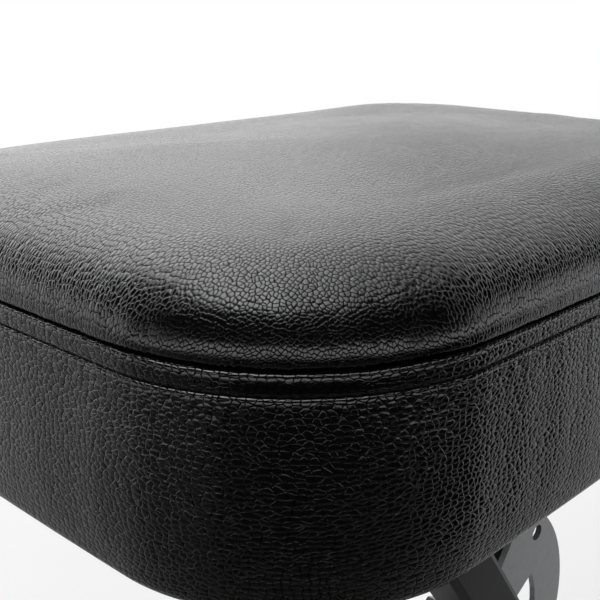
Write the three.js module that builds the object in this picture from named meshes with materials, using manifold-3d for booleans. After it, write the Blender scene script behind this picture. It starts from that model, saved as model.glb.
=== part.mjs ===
// Folding bench for a keyboard player: a thick padded seat on a double X frame of square steel tube.
// The frame stands on two cross tubes in rubber boots, locks at several heights and folds flat.
// Lengths are in millimetres and angles in degrees. X runs along the seat, Y to its rear, Z up.
// The origin lies on the floor under the middle of the seat.

import * as THREE from 'three';
import { mergeVertices } from 'three/addons/utils/BufferGeometryUtils.js';
import Module from 'manifold-3d';

const wasm = await Module();
wasm.setup();

// Clearances
const restGap = 0.3; // between pieces that rest on each other
const pinPlay = 0.3; // round a pin or screw, on the radius
const slotPlay = 0.4; // between a roller and its slot, on each side
const swingGap = 0.5; // between a swinging leg and its bracket
const overrun = 2; // how far a cutting tool reaches past the piece

// Seat pad
const seatLength = 405;
const seatWidth = 290;
const cornerRadius = 78;
const sideBowDepth = 3;
const bandHeight = 80;
const crownRise = 27.4;
const crownPower = 2.2;
const rollWidth = 34;
const domeRise = 7.4;
const coverThickness = 1.2;
const bandFullDepth = 1.6;
const stripFullDepth = 0.37; // of the strip between the seam and the stitch line
const seamTuck = 1.6;
const seamGroove = 1.4;
const lipHeight = 2.24; // over which the top panel turns into the seam
const stitchDrop = 7.9;
const stitchDepth = 1.1;
const stitchWidth = 2.2;
const stitchEase = 4.4; // below the stitch line, where the band starts to draw in
const hemWidth = 26;
const hemRound = 6;
const boardThickness = 12;

// X frame
const lowerArm = 312; // from the scissor pivot to the foot tube
const tubeSize = 25;
const tubeWall = 1.5;
const tubeCorner = 3;
const legInset = 49; // of an outer leg's middle from the seat's side
const legGap = 5; // between an outer and an inner leg
const legOverhang = 10; // of a leg past its upper hole
const footLength = 300;
const pivotDrop = 24; // of the upper hinges below the seat board
const restAngle = 54;
const highAngle = 60;
const heightStepAngle = 6;
const heightCount = 4;
const flatAngle = 3;

// Rubber boots and tube plugs
const bootLength = 38;
const bootPocket = 32;
const bootSole = 4.2;
const bootWall = 3.2;
const bootFlare = 1.8;
const bootCorner = 5;
const treadDepth = 1;
const treadCount = 4;
const plugHead = 2.5;
const plugChamfer = 1.2;
const plugDepth = 3;

// Brackets and rails of bent sheet
const sheetThickness = 3;
const bendRadius = 2;
const bracketLength = 84;
const bracketFlange = 32;
const bracketBrow = 10; // height of the bracket's full width before its ear tapers
const earRadius = 14;
const railFlange = 22;
const railInset = 2.7; // of a rail's end from the seat's end
const railSideGap = 7.2; // between the rail's web and the pivot nut
const railMargin = 9; // of sheet round the roller slot
const railCorner = 6;
const slotEndPlay = 1;

// Fasteners
const screwRadius = 2;
const screwLength = 12;
const screwHeadRadius = 4.2;
const screwHeadHeight = 2.4;
const screwFaceRadius = 2.5;
const driveWidth = 1.2;
const driveDepth = 1;
const screwInset = 12; // of a bracket screw from the end of its bracket
const railScrewInset = 32;
const railScrewReach = 9.5; // from the rail's web to its screws
const hingeBoltRadius = 4;
const hingeHeadWidth = 13;
const hingeHeadHeight = 5;
const hingeNutHeight = 4;
const pivotBoltRadius = 5;
const pivotHeadWidth = 17;
const pivotHeadHeight = 6.4;
const pivotNutHeight = 8;
const pivotWasherRadius = 12;

// Slide axle
const axleRadius = 5;
const axleEnd = 0.6; // of the axle past its clips
const rollerRadius = 9;
const rollerFlangeRadius = 12;
const rollerFlange = 2;
const sleeveRadius = 7;
const clipRadius = 9;
const clipThickness = 2.2;

// Index plate and plunger
const plateThickness = 3;
const plateRadius = 70;
const plateEndAngle = 14; // of the plate past the legs' direction
const holeCircle = 60;
const windowInner = 22;
const windowOuter = 44;
const windowStartAngle = 24;
const windowSweepAngle = 58;
const straightAngle = 180;
const plateScrewPlaces = [32, 52]; // along the inner leg from the scissor pivot
const plateScrewRadius = 2.2;
const plateScrewHeadRadius = 4.4;
const plateScrewLength = 8;
const plungerRadius = 4;
const plungerChamfer = 1;
const plungerCollarRadius = 6.2;
const plungerCollar = 3;
const housingBore = 6.6;
const housingRadius = 8;
const housingFloor = 4;
const housingFlangeRadius = 12;
const housingFlange = 3;
const housingBarrelRadius = 9;
const housingBarrel = 15;
const housingCap = 3;
const housingCapRadius = 10;
const springWireRadius = 0.7;
const springRadius = 5.3;
const springTurns = 6;
const knobGap = 1.7;
const knobLength = 16;
const knobRadius = 15;
const knobLobe = 1.6;
const knobLobes = 7;
const knobGrip = 10; // of the plunger pin inside the knob
const knobBevel = 2.4;

// Facets
const circleSteps = 24;
const holeSteps = 12;
const ringSteps = 18;
const screwSteps = 8;
const arcSteps = 7;
const smallArcSteps = 2;
const hemSteps = 3;
const hexagonSides = 6;
const longSideSteps = 6;
const shortSideSteps = 4;
const plateSteps = 48;
const springSteps = 8;
const springSides = 5;
const lobeSteps = 6;

// Shares of the roll-off's width at which the crown's rings lie, and of the rings inside it
const rollShares = [0.012, 0.05, 0.13, 0.27, 0.48, 0.74, 1];
const domeRingShare = 0.7;
const domeShares = [0.6, 0.25];
// Shares of the band's height at which it is fullest
const bandShares = [0.3, 0.62];
// Share of the tuck that is left half way up the seam's groove
const lipTuckShare = 0.2;

// Sizes that follow from the ones above
const halfTube = tubeSize / 2;
const restTurn = THREE.MathUtils.degToRad(restAngle);
const highTurn = THREE.MathUtils.degToRad(highAngle);
const flatTurn = THREE.MathUtils.degToRad(flatAngle);
const outerLegPlace = seatWidth / 2 - legInset;
const innerLegPlace = outerLegPlace - tubeSize - legGap;
const rollerSlot = rollerRadius + slotPlay;
const railEnd = slotEndPlay + rollerSlot + railMargin; // of the rail past the axle's last place
const foldedReach = seatLength / 2 - railInset - railEnd; // of the axle in the folded bench
// Leg above the scissor pivot, as long as lets the rails end inside the seat
const upperArm = foldedReach / (2 * Math.cos(flatTurn) - Math.cos(restTurn));
const footHeight = bootSole + restGap + halfTube;
const pivotHeight = footHeight + lowerArm * Math.sin(restTurn);
const seatHeight = pivotHeight + upperArm * Math.sin(restTurn) + pivotDrop;
const hingePlace = -upperArm * Math.cos(restTurn);
const coverUnderside = -restGap - coverThickness;
const bracketTop = coverUnderside - restGap;
const liningInset = seamTuck + coverThickness;
const outerLegOutside = outerLegPlace + halfTube;
const outerLegInside = outerLegPlace - halfTube;
const innerLegOutside = innerLegPlace + halfTube;
const innerLegInside = innerLegPlace - halfTube;
const plateFace = innerLegOutside + restGap + plateThickness;
const railFace = innerLegInside - restGap - pivotNutHeight - railSideGap;
const housingEnd = outerLegOutside + restGap + housingFlange + housingBarrel;
const housingFoot = outerLegInside + restGap;
const capFrom = housingEnd + restGap;
const capTo = capFrom + housingCap;
const knobFrom = capTo + knobGap;
const collarFrom = housingFoot + housingFloor + restGap;

const sides = [
  { name: 'front', sign: -1 },
  { name: 'rear', sign: 1 },
];

// Materials
function finish(color, roughness, metalness) {
  return new THREE.MeshStandardMaterial({ color, roughness, metalness });
}

const leatherette = finish('#17181a', 0.5, 0);
const foamMaterial = finish('#d8c98f', 0.95, 0);
const plywood = finish('#b98f5c', 0.8, 0);
const dustFabric = finish('#1b1b1d', 0.95, 0);
const blackSteel = finish('#1a1b1d', 0.45, 0.4);
const zincSteel = finish('#b9bcc0', 0.35, 0.9);
const rubber = finish('#141414', 0.85, 0);
const blackPlastic = finish('#18181a', 0.5, 0);
const nylon = finish('#e4e1d6', 0.5, 0);
const springSteel = finish('#8d9094', 0.3, 1);

// Closed loop round a rounded rectangle, anticlockwise
function roundedLoop(halfX, halfY, radius, steps, stepsX, stepsY) {
  const points = [];
  const corners = [[1, 1], [-1, 1], [-1, -1], [1, -1]];
  corners.forEach(([signX, signY], quarter) => {
    for (let step = 0; step <= steps; step += 1) {
      const angle = ((quarter + step / steps) * Math.PI) / 2;
      const x = signX * (halfX - radius) + radius * Math.cos(angle);
      const y = signY * (halfY - radius) + radius * Math.sin(angle);
      points.push(new THREE.Vector2(x, y));
    }
    const last = points[points.length - 1];
    const alongX = quarter % 2 === 0;
    const next = alongX ? new THREE.Vector2(-last.x, last.y) : new THREE.Vector2(last.x, -last.y);
    const sideSteps = alongX ? stepsX : stepsY;
    for (let step = 1; step < sideSteps; step += 1) {
      points.push(last.clone().lerp(next, step / sideSteps));
    }
  });
  return points;
}

function roundedShape(halfX, halfY, radius) {
  return new THREE.Shape(roundedLoop(halfX, halfY, radius, smallArcSteps, 1, 1));
}

// Loop round the seat, drawn in from the seam's line by the inset, with its sides bowed out a little
function seatLoop(inset) {
  const halfX = seatLength / 2 - inset;
  const halfY = seatWidth / 2 - inset;
  const loop = roundedLoop(halfX, halfY, cornerRadius - inset, arcSteps, longSideSteps, shortSideSteps);
  return loop.map(({ x, y }) => {
    const shareX = x / halfX;
    const shareY = y / halfY;
    const bowedX = x + sideBowDepth * shareX * (1 - shareY * shareY);
    const bowedY = y + sideBowDepth * shareY * (1 - shareX * shareX);
    return new THREE.Vector2(bowedX, bowedY);
  });
}

function raise(loop, z) {
  return loop.map(({ x, y }) => new THREE.Vector3(x, y, z));
}

// Triangles between two sections, either of which may be a single point
function joinSections(indices, startA, countA, startB, countB) {
  const count = Math.max(countA, countB);
  for (let k = 0; count > 1 && k < count; k += 1) {
    const next = (k + 1) % count;
    if (countA === 1) {
      indices.push(startA, startB + next, startB + k);
    } else if (countB === 1) {
      indices.push(startA + k, startA + next, startB);
    } else {
      indices.push(startA + k, startA + next, startB + next);
      indices.push(startA + k, startB + next, startB + k);
    }
  }
}

// Skin over sections of equal point counts, wrapped round from the last to the first if asked
function skin(sections, wrap) {
  const positions = [];
  const indices = [];
  const starts = [];
  for (const section of sections) {
    starts.push(positions.length / 3);
    section.forEach((point) => positions.push(point.x, point.y, point.z));
  }
  const joins = wrap ? sections.length : sections.length - 1;
  for (let a = 0; a < joins; a += 1) {
    const b = (a + 1) % sections.length;
    joinSections(indices, starts[a], sections[a].length, starts[b], sections[b].length);
  }
  const geometry = new THREE.BufferGeometry();
  geometry.setAttribute('position', new THREE.Float32BufferAttribute(positions, 3));
  geometry.setIndex(indices);
  geometry.computeVertexNormals();
  return geometry;
}

// Geometry with shared corners merged and flat triangles left out
function weld(geometry) {
  const bare = geometry.clone();
  bare.deleteAttribute('normal');
  bare.deleteAttribute('uv');
  const merged = mergeVertices(bare);
  const kept = [];
  const index = merged.index.array;
  for (let k = 0; k < index.length; k += 3) {
    const [a, b, c] = [index[k], index[k + 1], index[k + 2]];
    if (a !== b && b !== c && c !== a) {
      kept.push(a, b, c);
    }
  }
  merged.setIndex(kept);
  return merged;
}

function toSolid(geometry) {
  const welded = weld(geometry);
  const vertProperties = Float32Array.from(welded.attributes.position.array);
  const triVerts = Uint32Array.from(welded.index.array);
  return new wasm.Manifold(new wasm.Mesh({ numProp: 3, vertProperties, triVerts }));
}

function toGeometry(solid) {
  const mesh = solid.getMesh();
  const geometry = new THREE.BufferGeometry();
  geometry.setAttribute('position', new THREE.BufferAttribute(mesh.vertProperties, 3));
  geometry.setIndex(new THREE.BufferAttribute(mesh.triVerts, 1));
  geometry.computeVertexNormals();
  return geometry;
}

function cut(geometry, ...tools) {
  return toGeometry(tools.reduce((solid, tool) => solid.subtract(toSolid(tool)), toSolid(geometry)));
}

function join(geometry, ...others) {
  return toGeometry(others.reduce((solid, other) => solid.add(toSolid(other)), toSolid(geometry)));
}

function common(geometry, other) {
  return toGeometry(toSolid(geometry).intersect(toSolid(other)));
}

// Prisms of a flat shape, between two places along an axis
function prismX(shape, from, to) {
  const prism = new THREE.ExtrudeGeometry(shape, { depth: to - from, bevelEnabled: false });
  return prism.rotateY(Math.PI / 2).translate(from, 0, 0);
}

function prismY(shape, from, to) {
  const prism = new THREE.ExtrudeGeometry(shape, { depth: to - from, bevelEnabled: false });
  return prism.rotateX(Math.PI / 2).translate(0, to, 0);
}

function prismZ(shape, from, to) {
  const prism = new THREE.ExtrudeGeometry(shape, { depth: to - from, bevelEnabled: false });
  return prism.translate(0, 0, from);
}

// Round pieces about Y
function rod(radius, from, to, steps = circleSteps) {
  return new THREE.CylinderGeometry(radius, radius, to - from, steps).translate(0, (from + to) / 2, 0);
}

function turned(profile, steps = circleSteps) {
  return weld(new THREE.LatheGeometry(profile.map(([r, y]) => new THREE.Vector2(r, y)), steps));
}

function ring(inner, outer, from, to) {
  return turned([[inner, from], [outer, from], [outer, to], [inner, to], [inner, from]], ringSteps);
}

function hexagon(widthAcrossFlats, from, to) {
  const radius = widthAcrossFlats / Math.sqrt(3);
  const hexagonal = new THREE.CylinderGeometry(radius, radius, to - from, hexagonSides);
  return hexagonal.translate(0, (from + to) / 2, 0);
}

function bolt(radius, from, headWidth, headFrom, headHeight) {
  const head = hexagon(headWidth, headFrom, headFrom + headHeight);
  return join(rod(radius, from, headFrom + headHeight / 2), head);
}

function nut(boltRadius, width, from, to) {
  return cut(hexagon(width, from, to), rod(boltRadius + pinPlay, from - overrun, to + overrun));
}

// Adds a named piece to a group. A piece is drawn for the rear, and turned about for the front.
function add(group, name, geometry, material, x = 0, y = 0, z = 0) {
  const mesh = new THREE.Mesh(geometry, material);
  mesh.name = name;
  mesh.position.set(x, y, z);
  group.add(mesh);
  return mesh;
}

function addPair(group, name, geometry, material, x = 0, z = 0) {
  for (const side of sides) {
    const mesh = add(group, `${name}_${side.name}`, geometry, material, x, 0, z);
    mesh.rotation.z = side.sign > 0 ? 0 : Math.PI;
  }
}

// Height of the top panel over the seam at a distance in from the seam's line
function crownHeight(inset) {
  const roll = Math.min(inset / rollWidth, 1);
  const dome = 1 - Math.min(inset / (seatWidth / 2), 1);
  const rolled = crownRise * (1 - (1 - roll) ** crownPower) ** (1 / crownPower);
  return rolled + domeRise * (1 - dome * dome);
}

// The top panel's outer profile from its sewn edge inwards, as insets and heights over the seam
function crownProfile() {
  const edge = [
    [seamTuck, restGap / 2],
    [seamTuck * lipTuckShare, seamGroove / 2],
    [0, lipHeight],
  ];
  const roll = rollShares.map((share) => [share * rollWidth, crownHeight(share * rollWidth)]);
  const inner = rollWidth + (cornerRadius - rollWidth) * domeRingShare;
  return [...edge, ...roll, [inner, crownHeight(inner)]];
}

// The same profile moved inwards along its normals
function sunkProfile(profile, depth) {
  return profile.map(([inset, height], k) => {
    const [beforeInset, beforeHeight] = profile[Math.max(k - 1, 0)];
    const [afterInset, afterHeight] = profile[Math.min(k + 1, profile.length - 1)];
    const along = new THREE.Vector2(afterInset - beforeInset, afterHeight - beforeHeight).normalize();
    return [inset + depth * along.y, height - depth * along.x];
  });
}

// Sections over the top panel, from its edge to the middle of the seat
function crownSections(profile, drop) {
  const seam = bandHeight;
  const sections = profile.map(([inset, height]) => raise(seatLoop(inset), seam + height));
  const [lastInset] = profile[profile.length - 1];
  const lastLoop = seatLoop(lastInset);
  for (const share of domeShares) {
    const inset = lastInset + (seatWidth / 2 - lastInset) * (1 - share);
    const loop = lastLoop.map((point) => point.clone().multiplyScalar(share));
    sections.push(raise(loop, seam + crownHeight(inset) - drop));
  }
  sections.push([new THREE.Vector3(0, 0, seam + crownHeight(seatWidth / 2) - drop)]);
  return sections;
}

function coverTop() {
  const profile = crownProfile();
  const outer = crownSections(profile, 0);
  const inner = crownSections(sunkProfile(profile, coverThickness), coverThickness);
  inner[0] = raise(seatLoop(liningInset), bandHeight + restGap / 2);
  return skin([...outer, ...inner.reverse()], true);
}

// Side band: hem under the board, slightly full side, sunken stitch line and tucked upper edge
function coverBand() {
  const top = bandHeight - restGap / 2;
  const stitch = bandHeight - stitchDrop;
  const halfStitch = stitchWidth / 2;
  const hemArc = Array.from({ length: hemSteps + 1 }, (_, step) => {
    const angle = (step / hemSteps) * (Math.PI / 2);
    const inset = hemRound * (1 - Math.sin(angle));
    return [inset, coverUnderside + hemRound * (1 - Math.cos(angle))];
  });
  const profile = [
    [hemWidth, coverUnderside],
    ...hemArc,
    ...bandShares.map((share) => [-bandFullDepth, share * bandHeight]),
    [-bandFullDepth / 2, stitch - stitchEase],
    [0, stitch - halfStitch],
    [stitchDepth, stitch],
    [0, stitch + halfStitch],
    [-stripFullDepth, (stitch + top) / 2],
    [0, top - seamGroove],
    [seamTuck, top],
    [liningInset, top],
    [liningInset, -restGap],
    [hemWidth, -restGap],
  ];
  return skin(profile.map(([inset, z]) => raise(seatLoop(inset), z)), true);
}

function seatFoam() {
  const wall = liningInset + restGap;
  const depth = coverThickness + restGap;
  const [, , , ...upper] = sunkProfile(crownProfile(), depth);
  const roof = upper.map(([inset, height]) => [Math.max(inset, wall + height / bandHeight), height]);
  const bottom = boardThickness + restGap;
  const walls = [raise(seatLoop(wall), bottom), raise(seatLoop(wall), bandHeight)];
  const sections = [[new THREE.Vector3(0, 0, bottom)], ...walls, ...crownSections(roof, depth)];
  return skin(sections, false);
}

// Middle of the slide axle's travel, half of the travel, and half of the rail's length
function railSpan() {
  const near = hingePlace + 2 * upperArm * Math.cos(highTurn) - slotEndPlay;
  const far = hingePlace + 2 * upperArm * Math.cos(flatTurn) + slotEndPlay;
  const middle = (near + far) / 2;
  const slotHalf = (far - near) / 2;
  return { middle, slotHalf, half: slotHalf + rollerSlot + railMargin };
}

// Places of the screws that hold the brackets and rails
function screwPlaces() {
  const rail = railSpan();
  const bracketReach = bracketLength / 2 - screwInset;
  const railReach = rail.half - railScrewInset;
  const railLine = railFace + railScrewReach;
  const places = [];
  for (const side of sides) {
    for (const end of [-1, 1]) {
      const name = `bracket_screw_${side.name}_${end < 0 ? 'left' : 'right'}`;
      places.push({ name, x: hingePlace + end * bracketReach, y: side.sign * outerLegPlace });
    }
    for (const end of [-1, 1]) {
      const name = `rail_screw_${side.name}_${end < 0 ? 'left' : 'right'}`;
      places.push({ name, x: rail.middle + end * railReach, y: side.sign * railLine });
    }
  }
  return places;
}

function screwHoles(from, to) {
  return screwPlaces().map(({ x, y }) => {
    const hole = rod(screwRadius + pinPlay, from - overrun, to + overrun, screwSteps);
    return hole.rotateX(Math.PI / 2).translate(x, y, 0);
  });
}

function seatBoard() {
  const shape = new THREE.Shape(seatLoop(liningInset + restGap));
  return cut(prismZ(shape, 0, boardThickness), ...screwHoles(0, boardThickness));
}

function dustCloth() {
  const shape = new THREE.Shape(seatLoop(hemWidth + restGap));
  return cut(prismZ(shape, coverUnderside, -restGap), ...screwHoles(coverUnderside, -restGap));
}

// Round-headed screw with a cross recess, its point up in the board
function panScrew() {
  const headTop = bracketTop - sheetThickness - restGap;
  const headBottom = headTop - screwHeadHeight;
  const tip = headTop + screwLength;
  const screw = turned([
    [0, headBottom],
    [screwFaceRadius, headBottom],
    [screwHeadRadius, headBottom + screwHeadHeight / 2],
    [screwHeadRadius, headTop],
    [screwRadius, headTop],
    [screwRadius, tip - screwRadius],
    [0, tip],
  ], screwSteps).rotateX(Math.PI / 2);
  const bar = new THREE.BoxGeometry(screwHeadRadius, driveWidth, 2 * driveDepth);
  const recess = [0, Math.PI / 2].map((turn) => bar.clone().rotateZ(turn).translate(0, 0, headBottom));
  return cut(screw, ...recess);
}

// Section of a bent sheet in Y and Z: a flange towards minus Y at the top, and a web down at the face
function angleSection(face, flange, drop) {
  const outside = bendRadius + sheetThickness;
  const shape = new THREE.Shape();
  shape.moveTo(face - flange, bracketTop);
  shape.lineTo(face - flange, bracketTop - sheetThickness);
  shape.lineTo(face - outside, bracketTop - sheetThickness);
  shape.absarc(face - outside, bracketTop - outside, bendRadius, Math.PI / 2, 0, true);
  shape.lineTo(face - sheetThickness, bracketTop - drop);
  shape.lineTo(face, bracketTop - drop);
  shape.lineTo(face, bracketTop - outside);
  shape.absarc(face - outside, bracketTop - outside, outside, 0, Math.PI / 2, false);
  return new THREE.Shape(shape.getPoints(smallArcSteps));
}

// Bent sheet along X through the given half length
function angleSheet(face, flange, drop, half) {
  const depth = 2 * half;
  const sheet = new THREE.ExtrudeGeometry(angleSection(face, flange, drop), { depth, bevelEnabled: false });
  const turn = new THREE.Matrix4().set(0, 0, 1, -half, 1, 0, 0, 0, 0, 1, 0, 0, 0, 0, 0, 1);
  return sheet.applyMatrix4(turn);
}

function flangeHoles(y, reach) {
  return [-reach, reach].map((x) => {
    const hole = rod(screwRadius + pinPlay, -overrun, overrun + sheetThickness, screwSteps);
    return hole.rotateX(-Math.PI / 2).translate(x, y, bracketTop);
  });
}

// Hinge bracket with a tapered, round-ended ear outside the outer leg, centred on its hinge
function hingeBracket() {
  const face = outerLegOutside + swingGap + sheetThickness;
  const drop = pivotDrop + bracketTop + earRadius;
  const half = bracketLength / 2;
  const outline = new THREE.Shape();
  outline.moveTo(-half, bracketTop + overrun);
  outline.lineTo(-half, bracketTop - bracketBrow);
  outline.lineTo(-half / 2, bracketTop - bracketBrow);
  outline.absarc(0, -pivotDrop, earRadius, Math.PI, 2 * Math.PI, false);
  outline.lineTo(half / 2, bracketTop - bracketBrow);
  outline.lineTo(half, bracketTop - bracketBrow);
  outline.lineTo(half, bracketTop + overrun);
  const trim = prismY(new THREE.Shape(outline.getPoints(arcSteps)), 0, face + overrun);
  const blank = common(angleSheet(face, bracketFlange, drop, half), trim);
  const pin = rod(hingeBoltRadius + pinPlay, 0, face + overrun, holeSteps).translate(0, 0, -pivotDrop);
  return cut(blank, pin, ...flangeHoles(outerLegPlace, half - screwInset));
}

function slotShape(half, radius) {
  return new THREE.Shape(roundedLoop(half + radius, radius, radius, arcSteps, 1, 1));
}

// Rail with a long round-ended slot for the roller, centred on the slot, its flange turned outwards
function slideRail() {
  const { slotHalf, half } = railSpan();
  const drop = pivotDrop + bracketTop + rollerSlot + railMargin;
  const blank = angleSheet(sheetThickness - railFace, railFlange, drop, half).rotateZ(Math.PI);
  const reach = railFace + railFlange + overrun;
  const height = drop + overrun;
  const trimShape = roundedShape(half, height, railCorner);
  const trim = prismY(trimShape, 0, reach).translate(0, 0, bracketTop - drop + height);
  const slot = prismY(slotShape(slotHalf, rollerSlot), 0, reach).translate(0, 0, -pivotDrop);
  const holes = flangeHoles(railFace + railScrewReach, half - railScrewInset);
  return cut(common(blank, trim), slot, ...holes);
}

// Section of the square tube
function tubeShape() {
  const shape = roundedShape(halfTube, halfTube, tubeCorner);
  const bore = roundedShape(halfTube - tubeWall, halfTube - tubeWall, tubeCorner - tubeWall);
  shape.holes.push(new THREE.Path(bore.getPoints()));
  return shape;
}

function crossHole(radius, x, place, reach) {
  const hole = rod(radius + pinPlay, -reach, reach, holeSteps);
  return hole.translate(x, place, 0);
}

// Leg along X with its scissor pivot at the origin, its lower end coped round the foot tube
function leg(groupTurn, upperRadius, extraHoles) {
  const blank = prismX(tubeShape(), -upperArm - legOverhang, lowerArm);
  const copeSize = tubeSize + 2 * restGap;
  const foot = new THREE.BoxGeometry(copeSize, 2 * tubeSize, copeSize);
  foot.rotateY(-groupTurn).translate(lowerArm, 0, 0);
  const holes = [
    crossHole(upperRadius, -upperArm, 0, tubeSize),
    crossHole(pivotBoltRadius, 0, 0, tubeSize),
    ...extraHoles,
  ];
  return cut(blank, foot, ...holes);
}

function footTube() {
  return prismY(tubeShape(), -footLength / 2, footLength / 2);
}

// Rubber boot over the tube's rear end: a rounded block with a wider flat sole and tread grooves
function bootLoop(inset) {
  const top = halfTube + restGap + bootWall - inset;
  const sole = halfTube + restGap + bootSole - inset;
  const half = halfTube + restGap + bootWall - inset;
  const middle = (top - sole) / 2;
  const loop = roundedLoop(half, (top + sole) / 2, bootCorner, smallArcSteps, 1, 1);
  return loop.map(({ x, y }) => {
    const share = Math.max(0, -y / sole);
    return new THREE.Vector2(x + Math.sign(x) * bootFlare * share * share, y + middle);
  });
}

function footBoot() {
  const from = footLength / 2 - bootPocket;
  const to = from + bootLength;
  const pitch = (bootLength - bootWall) / treadCount;
  const section = (y, inset) => bootLoop(inset).map((point) => new THREE.Vector3(point.x, y, point.y));
  const sections = [section(from, 0)];
  for (let groove = 1; groove < treadCount; groove += 1) {
    const place = from + groove * pitch;
    sections.push(section(place - treadDepth, 0), section(place - treadDepth / 2, treadDepth));
    sections.push(section(place + treadDepth / 2, treadDepth), section(place + treadDepth, 0));
  }
  sections.push(section(to - bootWall / 2, 0), section(to, bootWall / 2));
  const centre = (y) => [new THREE.Vector3(0, y, 0)];
  const boot = skin([centre(to), ...sections.reverse(), centre(from)], false);
  const side = halfTube + restGap;
  const pocket = prismY(roundedShape(side, side, tubeCorner), from - overrun, footLength / 2 + restGap);
  return cut(boot, pocket);
}

// Plastic plug in a leg's upper end, along minus X from the end
function tubePlug() {
  const head = halfTube;
  const inside = halfTube - tubeWall - pinPlay;
  const insideCorner = tubeCorner - tubeWall;
  const section = (x, half, corner) => {
    const loop = roundedLoop(half, half, corner, smallArcSteps, 1, 1);
    return loop.map((point) => new THREE.Vector3(x, point.x, point.y));
  };
  const centre = (x) => [new THREE.Vector3(x, 0, 0)];
  const end = -restGap - plugHead;
  const sections = [
    centre(end),
    section(end, head - plugChamfer, tubeCorner),
    section(end + plugChamfer, head, tubeCorner),
    section(-restGap, head, tubeCorner),
    section(-restGap, inside, insideCorner),
    section(plugDepth, inside, insideCorner),
    centre(plugDepth),
  ];
  return skin(sections, false);
}

// Point of the index plate, by its distance and angle from the scissor pivot
function platePoint(radius, degrees) {
  const angle = THREE.MathUtils.degToRad(degrees);
  return new THREE.Vector2(radius * Math.cos(angle), radius * Math.sin(angle));
}

// Curved window between two angles
function plateWindow(from) {
  const points = [];
  const steps = arcSteps;
  for (let step = 0; step <= steps; step += 1) {
    points.push(platePoint(windowOuter, from + (step / steps) * windowSweepAngle));
  }
  for (let step = steps; step >= 0; step -= 1) {
    points.push(platePoint(windowInner, from + (step / steps) * windowSweepAngle));
  }
  return new THREE.Path(points);
}

// Angles of the lock holes: one for each height and one for the folded bench
function lockAngles() {
  const heights = Array.from({ length: heightCount }, (_, k) => highAngle - k * heightStepAngle);
  return [...heights, flatAngle].map((angle) => straightAngle - 2 * angle);
}

// Half-round plate between the legs on the front, with the pivot at its origin
function indexPlate() {
  const sweep = straightAngle + 2 * plateEndAngle;
  const rim = Array.from({ length: plateSteps + 1 }, (_, k) => {
    return platePoint(plateRadius, -plateEndAngle + (k / plateSteps) * sweep);
  });
  const shape = new THREE.Shape(rim);
  const farWindow = straightAngle - windowStartAngle - windowSweepAngle;
  shape.holes.push(plateWindow(windowStartAngle), plateWindow(farWindow));
  const plate = prismY(shape, -plateFace, -plateFace + plateThickness);
  const from = -plateFace - overrun;
  const to = -plateFace + plateThickness + overrun;
  const holes = lockAngles().map((angle) => {
    const place = platePoint(holeCircle, angle);
    return rod(plungerRadius + pinPlay, from, to, holeSteps).translate(place.x, 0, place.y);
  });
  const pivot = rod(pivotBoltRadius + pinPlay, from, to, holeSteps);
  const sinks = plateScrewPlaces.map((x) => plateScrewBody(pinPlay).translate(x, 0, 0));
  return cut(plate, pivot, ...holes, ...sinks);
}

// Flat-headed screw through the plate into the leg's wall, or the room for it with a clearance
function plateScrewBody(clearance) {
  const face = -plateFace - clearance;
  const sink = plateScrewHeadRadius - plateScrewRadius;
  const end = -plateFace + plateScrewLength + clearance;
  return turned([
    [0, face],
    [plateScrewHeadRadius + clearance, face],
    [plateScrewRadius + clearance, face + sink],
    [plateScrewRadius + clearance, end],
    [0, end],
  ], holeSteps);
}

function plateScrew() {
  const bar = new THREE.BoxGeometry(2 * plateScrewRadius, 2 * driveDepth, driveWidth);
  const recess = [0, Math.PI / 2].map((turn) => bar.clone().rotateY(turn).translate(0, -plateFace, 0));
  return cut(plateScrewBody(0), ...recess);
}

// Lock plunger, drawn outwards along plus Y from the middle of the bench and turned to the front
function plungerHousing() {
  const flangeFrom = outerLegOutside + restGap;
  return turned([
    [plungerRadius + pinPlay, housingFoot],
    [housingRadius, housingFoot],
    [housingRadius, flangeFrom],
    [housingFlangeRadius, flangeFrom],
    [housingFlangeRadius, flangeFrom + housingFlange],
    [housingBarrelRadius, flangeFrom + housingFlange],
    [housingBarrelRadius, housingEnd],
    [housingBore, housingEnd],
    [housingBore, housingFoot + housingFloor],
    [plungerRadius + pinPlay, housingFoot + housingFloor],
    [plungerRadius + pinPlay, housingFoot],
  ]);
}

function plungerPin() {
  const tip = plateFace + restGap;
  return turned([
    [0, tip],
    [plungerRadius - plungerChamfer, tip],
    [plungerRadius, tip + plungerChamfer],
    [plungerRadius, collarFrom],
    [plungerCollarRadius, collarFrom],
    [plungerCollarRadius, collarFrom + plungerCollar],
    [plungerRadius, collarFrom + plungerCollar],
    [plungerRadius, knobFrom + knobGrip],
    [0, knobFrom + knobGrip],
  ]);
}

function pullKnob() {
  const points = [];
  const count = knobLobes * lobeSteps;
  const core = knobRadius - knobLobe - knobBevel;
  for (let k = 0; k < count; k += 1) {
    const angle = (k / count) * 2 * Math.PI;
    const radius = core + knobLobe * Math.cos(knobLobes * angle);
    points.push(new THREE.Vector2(radius * Math.cos(angle), radius * Math.sin(angle)));
  }
  const options = {
    depth: knobLength - 2 * knobBevel,
    bevelThickness: knobBevel,
    bevelSize: knobBevel,
    bevelSegments: smallArcSteps,
  };
  const knob = new THREE.ExtrudeGeometry(new THREE.Shape(points), options);
  knob.translate(0, 0, knobBevel).rotateX(-Math.PI / 2).translate(0, knobFrom, 0);
  const bore = rod(plungerRadius + pinPlay, knobFrom - overrun, knobFrom + knobGrip + restGap, holeSteps);
  return cut(knob, bore);
}

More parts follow.
